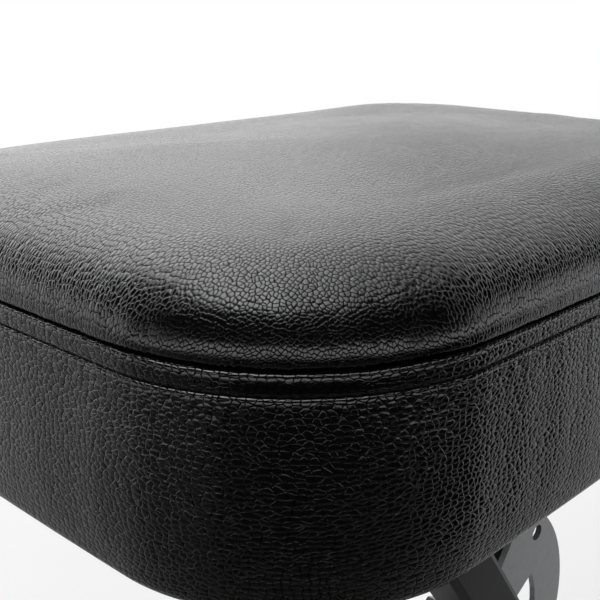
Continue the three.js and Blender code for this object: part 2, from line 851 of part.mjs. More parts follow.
function coilSpring() {
  const from = collarFrom + plungerCollar + restGap + springWireRadius;
  const to = capFrom - restGap - springWireRadius;
  const sections = [];
  const count = springTurns * springSteps;
  const centre = (k) => {
    const angle = (k / springSteps) * 2 * Math.PI;
    const y = from + (to - from) * (k / count);
    return new THREE.Vector3(springRadius * Math.sin(angle), y, springRadius * Math.cos(angle));
  };
  for (let k = 0; k <= count; k += 1) {
    const middle = centre(k);
    const outwards = new THREE.Vector3(middle.x, 0, middle.z).normalize();
    const section = [];
    for (let side = 0; side < springSides; side += 1) {
      const angle = (side / springSides) * 2 * Math.PI;
      const point = middle.clone().addScaledVector(outwards, springWireRadius * Math.cos(angle));
      point.y -= springWireRadius * Math.sin(angle);
      section.push(point);
    }
    sections.push(section);
  }
  return skin([[centre(0)], ...sections, [centre(count)]], false);
}

// Seat with its cover, board and underside hardware
function buildSeat() {
  const seat = new THREE.Group();
  seat.position.z = seatHeight;
  add(seat, 'cover_top', coverTop(), leatherette);
  add(seat, 'cover_band', coverBand(), leatherette);
  add(seat, 'seat_foam', seatFoam(), foamMaterial);
  add(seat, 'seat_board', seatBoard(), plywood);
  add(seat, 'dust_cloth', dustCloth(), dustFabric);
  addPair(seat, 'hinge_bracket', hingeBracket(), blackSteel, hingePlace);
  addPair(seat, 'slide_rail', slideRail(), blackSteel, railSpan().middle);
  const screw = panScrew();
  for (const { name, x, y } of screwPlaces()) {
    add(seat, name, screw, zincSteel, x, y);
  }
  return seat;
}

// Foot tube and boots, level with the floor while their frame is at rest
function buildFoot(frame, name, groupTurn) {
  const foot = new THREE.Group();
  foot.position.x = lowerArm;
  foot.rotation.y = -groupTurn;
  add(foot, `${name}_foot_tube`, footTube(), blackSteel);
  addPair(foot, `${name}_foot_boot`, footBoot(), rubber);
  frame.add(foot);
}

function addPlugs(frame, name, place) {
  const plug = tubePlug();
  for (const side of sides) {
    const x = -upperArm - legOverhang;
    add(frame, `${name}_plug_${side.name}`, plug, blackPlastic, x, side.sign * place, 0);
  }
}

// Outer frame: hinged to the seat, with the scissor bolts and the lock plunger
function buildOuterFrame() {
  const frame = new THREE.Group();
  frame.position.z = pivotHeight;
  frame.rotation.y = restTurn;
  const lockHole = crossHole(housingRadius, holeCircle, 0, tubeSize);
  const front = leg(restTurn, hingeBoltRadius, [lockHole]);
  add(frame, 'outer_leg_front', front, blackSteel, 0, -outerLegPlace);
  add(frame, 'outer_leg_rear', leg(restTurn, hingeBoltRadius, []), blackSteel, 0, outerLegPlace);
  addPlugs(frame, 'outer', outerLegPlace);
  buildFoot(frame, 'outer', restTurn);

  const hingeNutFrom = outerLegInside - restGap - hingeNutHeight;
  const hingeHeadFrom = outerLegOutside + swingGap + sheetThickness + restGap;
  const hingeBolt = bolt(hingeBoltRadius, hingeNutFrom, hingeHeadWidth, hingeHeadFrom, hingeHeadHeight);
  const hingeNut = nut(hingeBoltRadius, hingeHeadWidth, hingeNutFrom, hingeNutFrom + hingeNutHeight);
  addPair(frame, 'hinge_bolt', hingeBolt, zincSteel, -upperArm);
  addPair(frame, 'hinge_nut', hingeNut, zincSteel, -upperArm);

  const pivotNutFrom = innerLegInside - restGap - pivotNutHeight;
  const pivotHeadFrom = outerLegOutside + restGap;
  const pivotBolt = bolt(pivotBoltRadius, pivotNutFrom, pivotHeadWidth, pivotHeadFrom, pivotHeadHeight);
  const pivotNut = nut(pivotBoltRadius, pivotHeadWidth, pivotNutFrom, pivotNutFrom + pivotNutHeight);
  addPair(frame, 'pivot_bolt', pivotBolt, zincSteel);
  addPair(frame, 'pivot_nut', pivotNut, zincSteel);
  const washerBore = pivotBoltRadius + pinPlay;
  const washerTo = outerLegInside - restGap;
  const washer = ring(washerBore, pivotWasherRadius, plateFace + restGap, washerTo);
  const spacer = ring(washerBore, pivotWasherRadius, innerLegOutside + restGap, washerTo);
  add(frame, 'pivot_washer', washer, nylon).rotation.z = Math.PI;
  add(frame, 'pivot_spacer', spacer, nylon);

  const cap = ring(plungerRadius + pinPlay, housingCapRadius, capFrom, capTo);
  add(frame, 'plunger_housing', plungerHousing(), zincSteel, holeCircle).rotation.z = Math.PI;
  add(frame, 'plunger_cap', cap, zincSteel, holeCircle).rotation.z = Math.PI;
  add(frame, 'plunger_spring', coilSpring(), springSteel, holeCircle).rotation.z = Math.PI;
  add(frame, 'plunger_pin', plungerPin(), zincSteel, holeCircle).rotation.z = Math.PI;
  add(frame, 'pull_knob', pullKnob(), blackPlastic, holeCircle).rotation.z = Math.PI;
  return frame;
}

function slideRoller() {
  const web = railFace - sheetThickness;
  const bore = axleRadius + pinPlay;
  return turned([
    [bore, web - slotPlay - rollerFlange],
    [rollerFlangeRadius, web - slotPlay - rollerFlange],
    [rollerFlangeRadius, web - slotPlay],
    [rollerRadius, web - slotPlay],
    [rollerRadius, railFace + slotPlay],
    [rollerFlangeRadius, railFace + slotPlay],
    [rollerFlangeRadius, railFace + slotPlay + rollerFlange],
    [bore, railFace + slotPlay + rollerFlange],
    [bore, web - slotPlay - rollerFlange],
  ]);
}

// Inner frame: its axle runs on rollers in the rails, and it carries the index plate
function buildInnerFrame() {
  const frame = new THREE.Group();
  const turn = Math.PI - restTurn;
  frame.position.z = pivotHeight;
  frame.rotation.y = turn;
  const wallHoles = plateScrewPlaces.map((x) => {
    return crossHole(plateScrewRadius, x, -tubeSize, tubeSize);
  });
  add(frame, 'inner_leg_front', leg(turn, axleRadius, wallHoles), blackSteel, 0, -innerLegPlace);
  add(frame, 'inner_leg_rear', leg(turn, axleRadius, []), blackSteel, 0, innerLegPlace);
  addPlugs(frame, 'inner', innerLegPlace);
  buildFoot(frame, 'inner', turn);

  const clipFrom = innerLegOutside + restGap;
  const axleReach = clipFrom + clipThickness + axleEnd;
  const sleeveFrom = railFace + slotPlay + rollerFlange + restGap;
  const bore = axleRadius + pinPlay;
  add(frame, 'slide_axle', rod(axleRadius, -axleReach, axleReach), zincSteel, -upperArm);
  addPair(frame, 'slide_roller', slideRoller(), nylon, -upperArm);
  const sleeve = ring(bore, sleeveRadius, sleeveFrom, innerLegInside - restGap);
  addPair(frame, 'axle_sleeve', sleeve, nylon, -upperArm);
  const clip = ring(bore, clipRadius, clipFrom, clipFrom + clipThickness);
  addPair(frame, 'axle_clip', clip, zincSteel, -upperArm);

  add(frame, 'index_plate', indexPlate(), zincSteel);
  plateScrewPlaces.forEach((x, k) => add(frame, `plate_screw_${k + 1}`, plateScrew(), zincSteel, x));
  return frame;
}

const bench = new THREE.Group();
bench.add(buildSeat(), buildOuterFrame(), buildInnerFrame());

export default bench;
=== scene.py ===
"""Looks of a folding keyboard bench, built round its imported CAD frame.

The seat's leatherette cover is drawn here as sewn panels, puffed up by a cloth simulation, with its
stitches, dust sheet and staples. The steel frame keeps its CAD shapes and gets materials, weld beads
and the lock's coil spring. Lengths are in millimetres, but in metres where Blender's camera, lamps
and the frame take them.
"""

import math

import bpy
import numpy as np
from mathutils import Matrix, Vector


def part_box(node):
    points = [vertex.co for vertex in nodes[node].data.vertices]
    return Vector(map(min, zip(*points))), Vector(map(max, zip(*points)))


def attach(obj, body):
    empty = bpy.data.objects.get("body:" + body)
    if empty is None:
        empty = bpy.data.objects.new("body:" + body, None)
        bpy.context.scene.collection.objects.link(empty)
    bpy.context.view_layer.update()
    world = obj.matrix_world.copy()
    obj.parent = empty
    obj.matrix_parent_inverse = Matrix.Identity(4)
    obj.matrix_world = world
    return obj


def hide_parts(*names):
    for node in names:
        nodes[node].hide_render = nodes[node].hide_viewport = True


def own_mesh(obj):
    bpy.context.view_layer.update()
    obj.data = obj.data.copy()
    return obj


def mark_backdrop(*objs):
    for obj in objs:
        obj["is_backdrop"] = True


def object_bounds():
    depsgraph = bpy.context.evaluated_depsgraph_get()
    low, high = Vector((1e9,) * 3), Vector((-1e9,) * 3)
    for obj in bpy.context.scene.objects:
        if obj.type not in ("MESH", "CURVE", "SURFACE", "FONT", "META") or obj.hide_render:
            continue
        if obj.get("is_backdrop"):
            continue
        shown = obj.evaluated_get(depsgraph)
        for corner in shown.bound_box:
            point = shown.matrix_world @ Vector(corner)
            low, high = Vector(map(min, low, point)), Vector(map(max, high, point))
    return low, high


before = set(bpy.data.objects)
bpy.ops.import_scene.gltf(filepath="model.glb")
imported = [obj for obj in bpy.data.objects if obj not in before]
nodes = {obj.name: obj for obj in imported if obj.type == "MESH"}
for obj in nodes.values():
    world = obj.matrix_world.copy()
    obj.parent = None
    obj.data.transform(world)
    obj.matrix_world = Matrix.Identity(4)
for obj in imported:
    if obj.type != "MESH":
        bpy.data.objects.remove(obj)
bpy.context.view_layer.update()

MM = 0.001
GRAIN_UV = "grain"
GRAIN_DEPTH = "grain_depth"

# Seat pad, as in the CAD source
SEAT_LENGTH = 405
SEAT_WIDTH = 290
CORNER = 78
SIDE_BOW = 3
BAND_HEIGHT = 80
CROWN_RISE = 27.4
CROWN_POWER = 2.2
ROLL_WIDTH = 34
DOME_RISE = 7.4
STITCH_DROP = 7.9
UNDERSIDE = -1.5
HEM_WIDTH = 26
HEM_ROUND = 6
INNER_RING = 64.8  # inset at which the top panel's rows stop following the outline
SEAT_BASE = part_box("seat_board")[0].z / MM

# Points round the seat, every how manyth of them and of its rows the cloth uses, and its steps
ROUND = 1440
COARSE_ROUND = 6
COARSE_ROWS = 2
CLOTH_STEPS = 24

# Leatherette grain: cells per millimetre of its map, widths in cells, and heights in millimetres
PEBBLE_RATE = 0.7
PEBBLE_DISORDER = 0.8
PEBBLE_HEIGHT = 0.14
CREASE_WIDTH = 0.15
CREASE_DEPTH = 0.16
FINE_RATE = 1.5
FINE_HEIGHT = 0.02
MICRO_RATE = 3.6
MICRO_HEIGHT = 0.008
CREASE_SHADE_DEPTHS = (1.2, 3.3)  # depths of grain between which the painted crease shade widens
SHADE_WIDTH = (0.01, 0.14)

# X frame, as in the CAD source
REST_ANGLE = 54
TUBE_HALF = 12.5
OUTER_LEG_Y = 96
INNER_LEG_Y = 66

# Directions that the studio's light follows: the photo's right, ahead in it, and three near that
PHOTO_RIGHT = (0.69, -0.73, 0)
PHOTO_AHEAD = (0.73, 0.69, 0)
WALL_WAY = (0.625, 0.78, 0)
SIDE_WAY = (0.597, 0.802, 0)
FLOOR_WAY = (0.75, 0.66, 0)

# Lamps: place, height aimed at, width and power
LAMPS = {
    "back_lamp": ((-0.6, 2.0, 2.1), 0.35, 1.6, 55),
    "left_lamp": ((-2.1, 0.3, 1.5), 0.3, 1.3, 22),
    "right_lamp": ((2.1, -0.5, 1.5), 0.3, 1.3, 26),
    "front_lamp": ((-0.4, -2.2, 1.9), 0.3, 1.3, 16),
}

# Camera, as fitted to the photograph
CAMERA_PLACE = (-0.3628, -0.2939, 0.5773)
CAMERA_YAW = 0.8151
CAMERA_PITCH = 0.3074
CAMERA_ROLL = 0.006
CAMERA_LENS = 58.4


# ---------- node helpers


def new_material(name):
    material = bpy.data.materials.new(name)
    material.use_nodes = True
    tree = material.node_tree
    tree.nodes.clear()
    output = tree.nodes.new("ShaderNodeOutputMaterial")
    shader = tree.nodes.new("ShaderNodeBsdfPrincipled")
    tree.links.new(shader.outputs[0], output.inputs[0])
    return material, tree, shader


def link(tree, source, target):
    """Joins an output, or sets a plain value."""
    if isinstance(source, bpy.types.NodeSocket):
        tree.links.new(source, target)
    else:
        target.default_value = source


def math_node(tree, operation, a, b=0.0, c=0.0, clamp=False):
    node = tree.nodes.new("ShaderNodeMath")
    node.operation = operation
    node.use_clamp = clamp
    for socket, value in zip(node.inputs, (a, b, c)):
        link(tree, value, socket)
    return node.outputs[0]


def vector_node(tree, operation, a, b=(0, 0, 0), scale=None):
    node = tree.nodes.new("ShaderNodeVectorMath")
    node.operation = operation
    link(tree, a, node.inputs[0])
    link(tree, b, node.inputs[1])
    if scale is not None:
        link(tree, scale, node.inputs["Scale"])
    return node.outputs[0]


def noise(tree, vector, scale, detail=2.0, roughness=0.5, dimensions="3D"):
    node = tree.nodes.new("ShaderNodeTexNoise")
    node.noise_dimensions = dimensions
    link(tree, vector, node.inputs["Vector"])
    node.inputs["Scale"].default_value = scale
    node.inputs["Detail"].default_value = detail
    node.inputs["Roughness"].default_value = roughness
    return node


def voronoi(tree, vector, scale, feature, dimensions="2D", randomness=1.0):
    node = tree.nodes.new("ShaderNodeTexVoronoi")
    node.voronoi_dimensions = dimensions
    node.feature = feature
    link(tree, vector, node.inputs["Vector"])
    node.inputs["Scale"].default_value = scale
    node.inputs["Randomness"].default_value = randomness
    return node.outputs["Distance"]


def remap(tree, value, low, high, to_low, to_high, smooth=False):
    node = tree.nodes.new("ShaderNodeMapRange")
    node.interpolation_type = "SMOOTHSTEP" if smooth else "LINEAR"
    link(tree, value, node.inputs["Value"])
    for name, number in zip(("From Min", "From Max", "To Min", "To Max"), (low, high, to_low, to_high)):
        node.inputs[name].default_value = number
    return node.outputs["Result"]


def mix_color(tree, factor, a, b):
    node = tree.nodes.new("ShaderNodeMix")
    node.data_type = "RGBA"
    link(tree, factor, node.inputs[0])
    link(tree, (*a, 1), node.inputs[6])
    link(tree, (*b, 1), node.inputs[7])
    return node.outputs[2]


def tint(tree, shader, factor, a, b, socket="Base Color"):
    """Gives the shader a colour between two."""
    tree.links.new(mix_color(tree, factor, a, b), shader.inputs[socket])


def bump(tree, height, shader, strength=1.0):
    """Height in millimetres, turned into the shader's normal."""
    node = tree.nodes.new("ShaderNodeBump")
    node.inputs["Strength"].default_value = strength
    node.inputs["Distance"].default_value = MM
    tree.links.new(height, node.inputs["Height"])
    tree.links.new(node.outputs[0], shader.inputs["Normal"])


def object_coordinates(tree):
    return tree.nodes.new("ShaderNodeTexCoord").outputs["Object"]


def scattered(tree, place, source, rate, detail, reach):
    """Moves a place by a noise over the source, by up to half the reach each way."""
    offset = noise(tree, source, rate, detail, 0.5, "2D").outputs["Color"]
    offset = vector_node(tree, "SUBTRACT", offset, (0.5, 0.5, 0.5))
    return vector_node(tree, "ADD", place, vector_node(tree, "SCALE", offset, scale=reach))


def dome_over(tree, near):
    """1 in the middle of a Voronoi cell, falling to 0 near its rim."""
    squared = math_node(tree, "POWER", math_node(tree, "MULTIPLY", near, 1.35), 2.0)
    return math_node(tree, "SUBTRACT", 1.0, squared)


# ---------- materials


def leatherette():
    """Black embossed leatherette: domed pebbles between deep creases, laid in the panels' own plane."""
    material, tree, shader = new_material("leatherette")
    uv = tree.nodes.new("ShaderNodeUVMap")
    uv.uv_map = GRAIN_UV
    depth = tree.nodes.new("ShaderNodeAttribute")
    depth.attribute_name = GRAIN_DEPTH

    # one unit of the map is a millimetre
    flat = uv.outputs[0]
    place = scattered(tree, flat, flat, 0.2, 2.0, 1.2)
    place = scattered(tree, place, flat, 1.3, 1.0, 0.3)
    near = voronoi(tree, place, PEBBLE_RATE, "F1", randomness=PEBBLE_DISORDER)
    edge = voronoi(tree, place, PEBBLE_RATE, "DISTANCE_TO_EDGE", randomness=PEBBLE_DISORDER)
    pebble = dome_over(tree, near)
    crease = remap(tree, edge, 0.0, CREASE_WIDTH, 0.0, 1.0, smooth=True)
    fine = dome_over(tree, voronoi(tree, place, FINE_RATE, "F1"))
    micro = noise(tree, flat, MICRO_RATE, 3.0, 0.65, "2D").outputs["Fac"]

    height = math_node(tree, "MULTIPLY", pebble, PEBBLE_HEIGHT)
    height = math_node(tree, "MULTIPLY_ADD", crease, CREASE_DEPTH, height)
    height = math_node(tree, "MULTIPLY_ADD", fine, FINE_HEIGHT, height)
    height = math_node(tree, "MULTIPLY", height, depth.outputs["Fac"])
    height = math_node(tree, "MULTIPLY_ADD", micro, MICRO_HEIGHT, height)
    bump(tree, height, shader)

    wear = noise(tree, object_coordinates(tree), 9.0, 4.0, 0.6).outputs["Fac"]
    # painted shade: the base colour is darkest in the creases and at the pebbles' rims, standing in for their
    # occlusion
    pebble_top_vs_shaded_crease = math_node(tree, "MULTIPLY", crease, remap(tree, pebble, 0.1, 0.7, 0.3, 1.0, smooth=True))
    tint(tree, shader, pebble_top_vs_shaded_crease, (0.0008, 0.0008, 0.0009), (0.0034, 0.0034, 0.0037))
    rough = remap(tree, pebble_top_vs_shaded_crease, 0.0, 1.0, 0.16, 0.095)
    rough = math_node(tree, "ADD", remap(tree, wear, 0.3, 0.7, -0.04, 0.05), rough)
    tree.links.new(rough, shader.inputs["Roughness"])
    # painted shade: the specular tint goes black in the creases in place of their occlusion, and more widely
    # where the grain is deep
    spread = remap(tree, depth.outputs["Fac"], *CREASE_SHADE_DEPTHS, 1.0, 1.8)
    lit = remap(tree, math_node(tree, "DIVIDE", edge, spread), *SHADE_WIDTH, 0.0, 1.0, smooth=True)
    tint(tree, shader, lit, (0, 0, 0), (1, 1, 1), "Specular Tint")
    shader.inputs["IOR"].default_value = 1.8
    return material


def painted_steel():
    """Black powder coat with its fine texture, cloudy, with lighter and rougher scuffs."""
    material, tree, shader = new_material("black_powder_coat")
    place = object_coordinates(tree)
    peel = noise(tree, place, 900, 2.0, 0.55).outputs["Fac"]
    cells = voronoi(tree, place, 700, "SMOOTH_F1", "3D")
    height = math_node(tree, "MULTIPLY_ADD", peel, 0.05, math_node(tree, "MULTIPLY", cells, 0.04))
    bump(tree, height, shader, 0.8)
    cloud = noise(tree, place, 14, 5.0, 0.6).outputs["Fac"]
    scuff = noise(tree, vector_node(tree, "MULTIPLY", place, (1, 1, 6)), 60, 6.0, 0.7).outputs["Fac"]
    scuff = remap(tree, scuff, 0.62, 0.7, 0.0, 1.0, smooth=True)
    tone = math_node(tree, "MULTIPLY_ADD", scuff, 0.5, remap(tree, cloud, 0.3, 0.7, 0.0, 0.5))
    tint(tree, shader, tone, (0.015, 0.0153, 0.016), (0.028, 0.0286, 0.03))
    rough = math_node(tree, "MULTIPLY_ADD", scuff, 0.12, remap(tree, cloud, 0.3, 0.7, 0.36, 0.46))
    tree.links.new(rough, shader.inputs["Roughness"])
    return material


def zinc_steel(name="zinc_plate", bright=(0.55, 0.56, 0.57), roughness=0.38):
    """Bright zinc plate: a cloudy passivated surface with fine turning marks."""
    material, tree, shader = new_material(name)
    place = object_coordinates(tree)
    cloud = noise(tree, place, 160, 5.0, 0.65).outputs["Fac"]
    marks = noise(tree, vector_node(tree, "MULTIPLY", place, (1, 14, 1)), 260, 3.0, 0.6).outputs["Fac"]
    dark = tuple(share * 0.78 for share in bright)
    tint(tree, shader, remap(tree, cloud, 0.3, 0.7, 0.0, 1.0), dark, bright)
    rough = remap(tree, cloud, 0.3, 0.7, roughness - 0.07, roughness + 0.1)
    tree.links.new(rough, shader.inputs["Roughness"])
    height = math_node(tree, "MULTIPLY_ADD", marks, 0.012, math_node(tree, "MULTIPLY", cloud, 0.01))
    bump(tree, height, shader, 0.6)
    shader.inputs["Metallic"].default_value = 0.75
    return material


def rubber():
    """Black rubber, dusty in places."""
    material, tree, shader = new_material("rubber")
    place = object_coordinates(tree)
    fine = noise(tree, place, 1100, 2.0, 0.6).outputs["Fac"]
    dust = noise(tree, place, 35, 5.0, 0.65).outputs["Fac"]
    dusty = remap(tree, dust, 0.45, 0.75, 0.0, 1.0)
    tint(tree, shader, dusty, (0.012, 0.012, 0.012), (0.03, 0.029, 0.028))
    tree.links.new(remap(tree, dust, 0.3, 0.7, 0.7, 0.85), shader.inputs["Roughness"])
    bump(tree, math_node(tree, "MULTIPLY", fine, 0.05), shader, 0.7)
    return material


def moulded(name, color, shade, roughness, grain=0.03, scatter=0.0):
    """Moulded plastic with a spark-eroded surface."""
    material, tree, shader = new_material(name)
    place = object_coordinates(tree)
    spark = noise(tree, place, 1300, 2.0, 0.6).outputs["Fac"]
    cloud = noise(tree, place, 40, 4.0, 0.6).outputs["Fac"]
    tint(tree, shader, remap(tree, cloud, 0.35, 0.7, 0.0, 1.0), color, shade)
    rough = remap(tree, cloud, 0.3, 0.7, roughness - 0.04, roughness + 0.08)
    tree.links.new(rough, shader.inputs["Roughness"])
    shader.inputs["Subsurface Weight"].default_value = scatter
    shader.inputs["Subsurface Scale"].default_value = 0.002
    bump(tree, math_node(tree, "MULTIPLY", spark, grain), shader, 0.7)
    return material


def plywood():
    """Birch plywood: grain along X on the faces and plies on the edges."""
    material, tree, shader = new_material("plywood")
    place = object_coordinates(tree)
    streaks = vector_node(tree, "MULTIPLY", place, (6, 160, 1))
    streaks = noise(tree, streaks, 1.0, 6.0, 0.6).outputs["Fac"]
    split = tree.nodes.new("ShaderNodeSeparateXYZ")
    tree.links.new(place, split.inputs[0])
    ply_pair = 0.0027
    plies = math_node(tree, "SINE", math_node(tree, "MULTIPLY", split.outputs[2], 2 * math.pi / ply_pair))
    tone = remap(tree, streaks, 0.3, 0.7, 0.0, 0.8)
    tone = math_node(tree, "MULTIPLY_ADD", plies, 0.18, tone, clamp=True)
    tint(tree, shader, tone, (0.56, 0.38, 0.2), (0.3, 0.17, 0.075))
    shader.inputs["Roughness"].default_value = 0.75
    bump(tree, math_node(tree, "MULTIPLY", streaks, 0.12), shader, 0.6)
    return material


def bonded_cloth():
    """Thin black non-woven cloth: pressed fibres and a lattice of bonding points."""
    material, tree, shader = new_material("dust_cloth_fibre")
    place = object_coordinates(tree)
    fibres = noise(tree, vector_node(tree, "MULTIPLY", place, (1, 3.2, 1)), 900, 4.0, 0.7).outputs["Fac"]
    crossed = noise(tree, vector_node(tree, "MULTIPLY", place, (3.2, 1, 1)), 900, 4.0, 0.7).outputs["Fac"]
    points = voronoi(tree, place, 520, "F1", "3D", 0.0)
    dots = remap(tree, points, 0.15, 0.32, 0.0, 1.0, smooth=True)
    felt = math_node(tree, "ADD", fibres, crossed)
    height = math_node(tree, "MULTIPLY", math_node(tree, "MULTIPLY", felt, dots), 0.1)
    bump(tree, height, shader)
    tone = remap(tree, felt, 0.7, 1.3, 0.0, 1.0)
    tint(tree, shader, tone, (0.011, 0.011, 0.012), (0.034, 0.034, 0.037))
    shader.inputs["Roughness"].default_value = 0.92
    return material


def thread_material():
    """Black polyester thread."""
    material, tree, shader = new_material("thread")
    place = object_coordinates(tree)
    twist = noise(tree, place, 2600, 2.0, 0.6).outputs["Fac"]
    tint(tree, shader, twist, (0.004, 0.004, 0.004), (0.02, 0.02, 0.021))
    shader.inputs["Roughness"].default_value = 0.6
    bump(tree, math_node(tree, "MULTIPLY", twist, 0.08), shader)
    return material


LEATHER = leatherette()
PAINT = painted_steel()
ZINC = zinc_steel()
SPRING = zinc_steel("spring_steel", (0.46, 0.47, 0.49), 0.24)
DUST = bonded_cloth()
THREAD = thread_material()

BY_SLOT = {
    "leatherette": LEATHER,
    "foam": moulded("foam", (0.62, 0.5, 0.22), (0.5, 0.4, 0.17), 0.9, 0.3),
    "plywood": plywood(),
    "dust_fabric": DUST,
    "black_steel": PAINT,
    "zinc_steel": ZINC,
    "rubber": rubber(),
    "black_plastic": moulded("black_plastic", (0.011, 0.011, 0.012), (0.019, 0.019, 0.02), 0.42),
    "nylon": moulded("nylon", (0.72, 0.7, 0.63), (0.6, 0.57, 0.49), 0.42, 0.02, 0.15),
    "spring_steel": SPRING,
}


def dress_nodes():
    """Gives each CAD node the look of its slot, whose name its packed material bears."""
    for node in nodes.values():
        for place in node.material_slots:
            place.material = BY_SLOT[place.material.name]


# ---------- seat outline


def outline(count):
    """Inner rectangle's points and outward directions round the seat, evenly spaced along the seam.

    They start at the middle of the rear side and run anticlockwise. Also gives each point's distance
    along the seam, and how near it is to the middle of a corner, from 0 to 1."""
    core_x, core_y = SEAT_LENGTH / 2 - CORNER, SEAT_WIDTH / 2 - CORNER
    arc = CORNER * math.pi / 2
    runs = [
        (core_x, (0, core_y), (-core_x, core_y), 90, 90),
        (arc, (-core_x, core_y), (-core_x, core_y), 90, 180),
        (2 * core_y, (-core_x, core_y), (-core_x, -core_y), 180, 180),
        (arc, (-core_x, -core_y), (-core_x, -core_y), 180, 270),
        (2 * core_x, (-core_x, -core_y), (core_x, -core_y), 270, 270),
        (arc, (core_x, -core_y), (core_x, -core_y), 270, 360),
        (2 * core_y, (core_x, -core_y), (core_x, core_y), 360, 360),
        (arc, (core_x, core_y), (core_x, core_y), 360, 450),
        (core_x, (core_x, core_y), (0, core_y), 450, 450),
    ]
    ends = np.cumsum([run[0] for run in runs])
    along = (np.arange(count) / count) * ends[-1]
    core, way, corner = np.zeros((count, 2)), np.zeros((count, 2)), np.zeros(count)
    for k, distance in enumerate(along):
        r = int(np.searchsorted(ends, distance, side="right"))
        length, start, end, turn_from, turn_to = runs[r]
        share = (distance - (ends[r] - length)) / length
        core[k] = np.array(start) + share * (np.array(end) - np.array(start))
        angle = math.radians(turn_from + share * (turn_to - turn_from))
        way[k] = math.cos(angle), math.sin(angle)
        if turn_from != turn_to:
            corner[k] = math.sin(share * math.pi)
    return core, way, along, corner


CORE, WAY, ALONG, CORNERNESS = outline(ROUND)
PERIMETER = ALONG[-1] + ALONG[1]


def loop_at(inset):
    """Points of the seat's outline drawn in by an inset, with the sides bowed out."""
    half = np.array([SEAT_LENGTH / 2 - inset, SEAT_WIDTH / 2 - inset])
    flat = CORE + (CORNER - inset) * WAY
    share = flat / half
    bow = SIDE_BOW * share * (1 - share[:, ::-1] ** 2)
    return flat + bow


def crown(inset):
    """Rise of the CAD cover's crown and dome at an inset from the outline."""
    roll = min(max(inset / ROLL_WIDTH, 0), 1)
    dome = 1 - min(inset / (SEAT_WIDTH / 2), 1)
    return CROWN_RISE * (1 - (1 - roll) ** CROWN_POWER) ** (1 / CROWN_POWER) + DOME_RISE * (1 - dome**2)


def waves(seed, shortest, longest, count=48):
    """Smooth seeded waviness round the seat, with wavelengths in millimetres, of unit spread."""
    rng = np.random.default_rng(seed)
    turns = rng.integers(int(PERIMETER / longest), int(PERIMETER / shortest) + 1, count)
    phases = rng.uniform(0, 2 * math.pi, count)
    angle = 2 * math.pi * ALONG / PERIMETER
    total = sum(np.cos(n * angle + phase) for n, phase in zip(turns, phases))
    return total / math.sqrt(count / 2)


def drift(seed, points, shortest, longest, count=14):
    """Smooth seeded waviness over the plan of some points, of unit spread."""
    rng = np.random.default_rng(seed)
    total = 0
    for _ in range(count):
        turn, length = rng.uniform(0, 2 * math.pi), rng.uniform(shortest, longest)
        way = np.array([math.cos(turn), math.sin(turn)]) * 2 * math.pi / length
        total = total + np.cos(points[..., :2] @ way + rng.uniform(0, 2 * math.pi))
    return total / math.sqrt(count / 2)


def hump(value, centre, width):
    return np.exp(-(((value - centre) / width) ** 2))


def smooth_step(value, low, high):
    t = np.clip((value - low) / (high - low), 0, 1)
    return t * t * (3 - 2 * t)


# ---------- meshes


def make_object(name, points, faces, material, smooth=True):
    """Mesh object from points in millimetres."""
    mesh = bpy.data.meshes.new(name)
    mesh.from_pydata((np.asarray(points, float) * MM).tolist(), [], faces)
    mesh.update()
    if smooth:
        mesh.polygons.foreach_set("use_smooth", [True] * len(mesh.polygons))
    mesh.materials.append(material)
    made = bpy.data.objects.new(name, mesh)
    bpy.context.scene.collection.objects.link(made)
    return made


def grid_faces(rows, columns, flip=False):
    """Faces between rows of points that run round and close."""
    faces = []
    for r in range(rows - 1):
        for c in range(columns):
            d = (c + 1) % columns
            face = (r * columns + c, r * columns + d, (r + 1) * columns + d, (r + 1) * columns + c)
            faces.append(face[::-1] if flip else face)
    return faces


def fan_faces(rows, columns, flip=False):
    """Triangles from the last of such rows to one more point in its middle."""
    first, middle = (rows - 1) * columns, rows * columns
    fan = [(first + c, first + (c + 1) % columns) for c in range(columns)]
    return [(b, a, middle) if flip else (a, b, middle) for a, b in fan]


def rod_faces(rings, sides, first=0, flip=False):
    """Faces of a rod of rings of points, from the given point on, with its two ends closed."""
    faces = []
    for r in range(rings - 1):
        a = first + r * sides
        for s in range(sides):
            t = (s + 1) % sides
            face = (a + s, a + t, a + sides + t, a + sides + s)
            faces.append(face[:1] + face[:0:-1] if flip else face)
    near = tuple(range(first, first + sides))
    far = tuple(range(first + (rings - 1) * sides, first + rings * sides))
    return faces + ([near, far[::-1]] if flip else [near[::-1], far])


def add_grain_map(made, map_rows, centre_map=None):
    """UV map in millimetres from rows of map points. Faces over the wrap use a point further on."""
    rows, columns, _ = map_rows.shape
    mesh = made.data
    layer = mesh.uv_layers.new(name=GRAIN_UV)
    flat = map_rows[:, :-1].reshape(-1, 2)
    wrapped = map_rows[:, -1]
    columns -= 1
    vertex = np.zeros(len(mesh.loops), int)
    mesh.loops.foreach_get("vertex_index", vertex)
    if centre_map is not None:
        flat = np.vstack([flat, [centre_map]])
    uv = flat[vertex].copy()
    for polygon in mesh.polygons:
        picked = [vertex[k] for k in polygon.loop_indices]
        cols = [v % columns for v in picked if v < rows * columns]
        if cols and max(cols) - min(cols) > columns // 2:
            for k, v in zip(polygon.loop_indices, picked):
                if v < rows * columns and v % columns == 0:
                    uv[k] = wrapped[v // columns]
    layer.data.foreach_set("uv", uv.astype(np.float32).ravel())


def add_depth(made, values):
    """Depth of the grain at each point, as a share of its full heights."""
    attribute = made.data.attributes.new(GRAIN_DEPTH, "FLOAT", "POINT")
    attribute.data.foreach_set("value", np.asarray(values, np.float32))


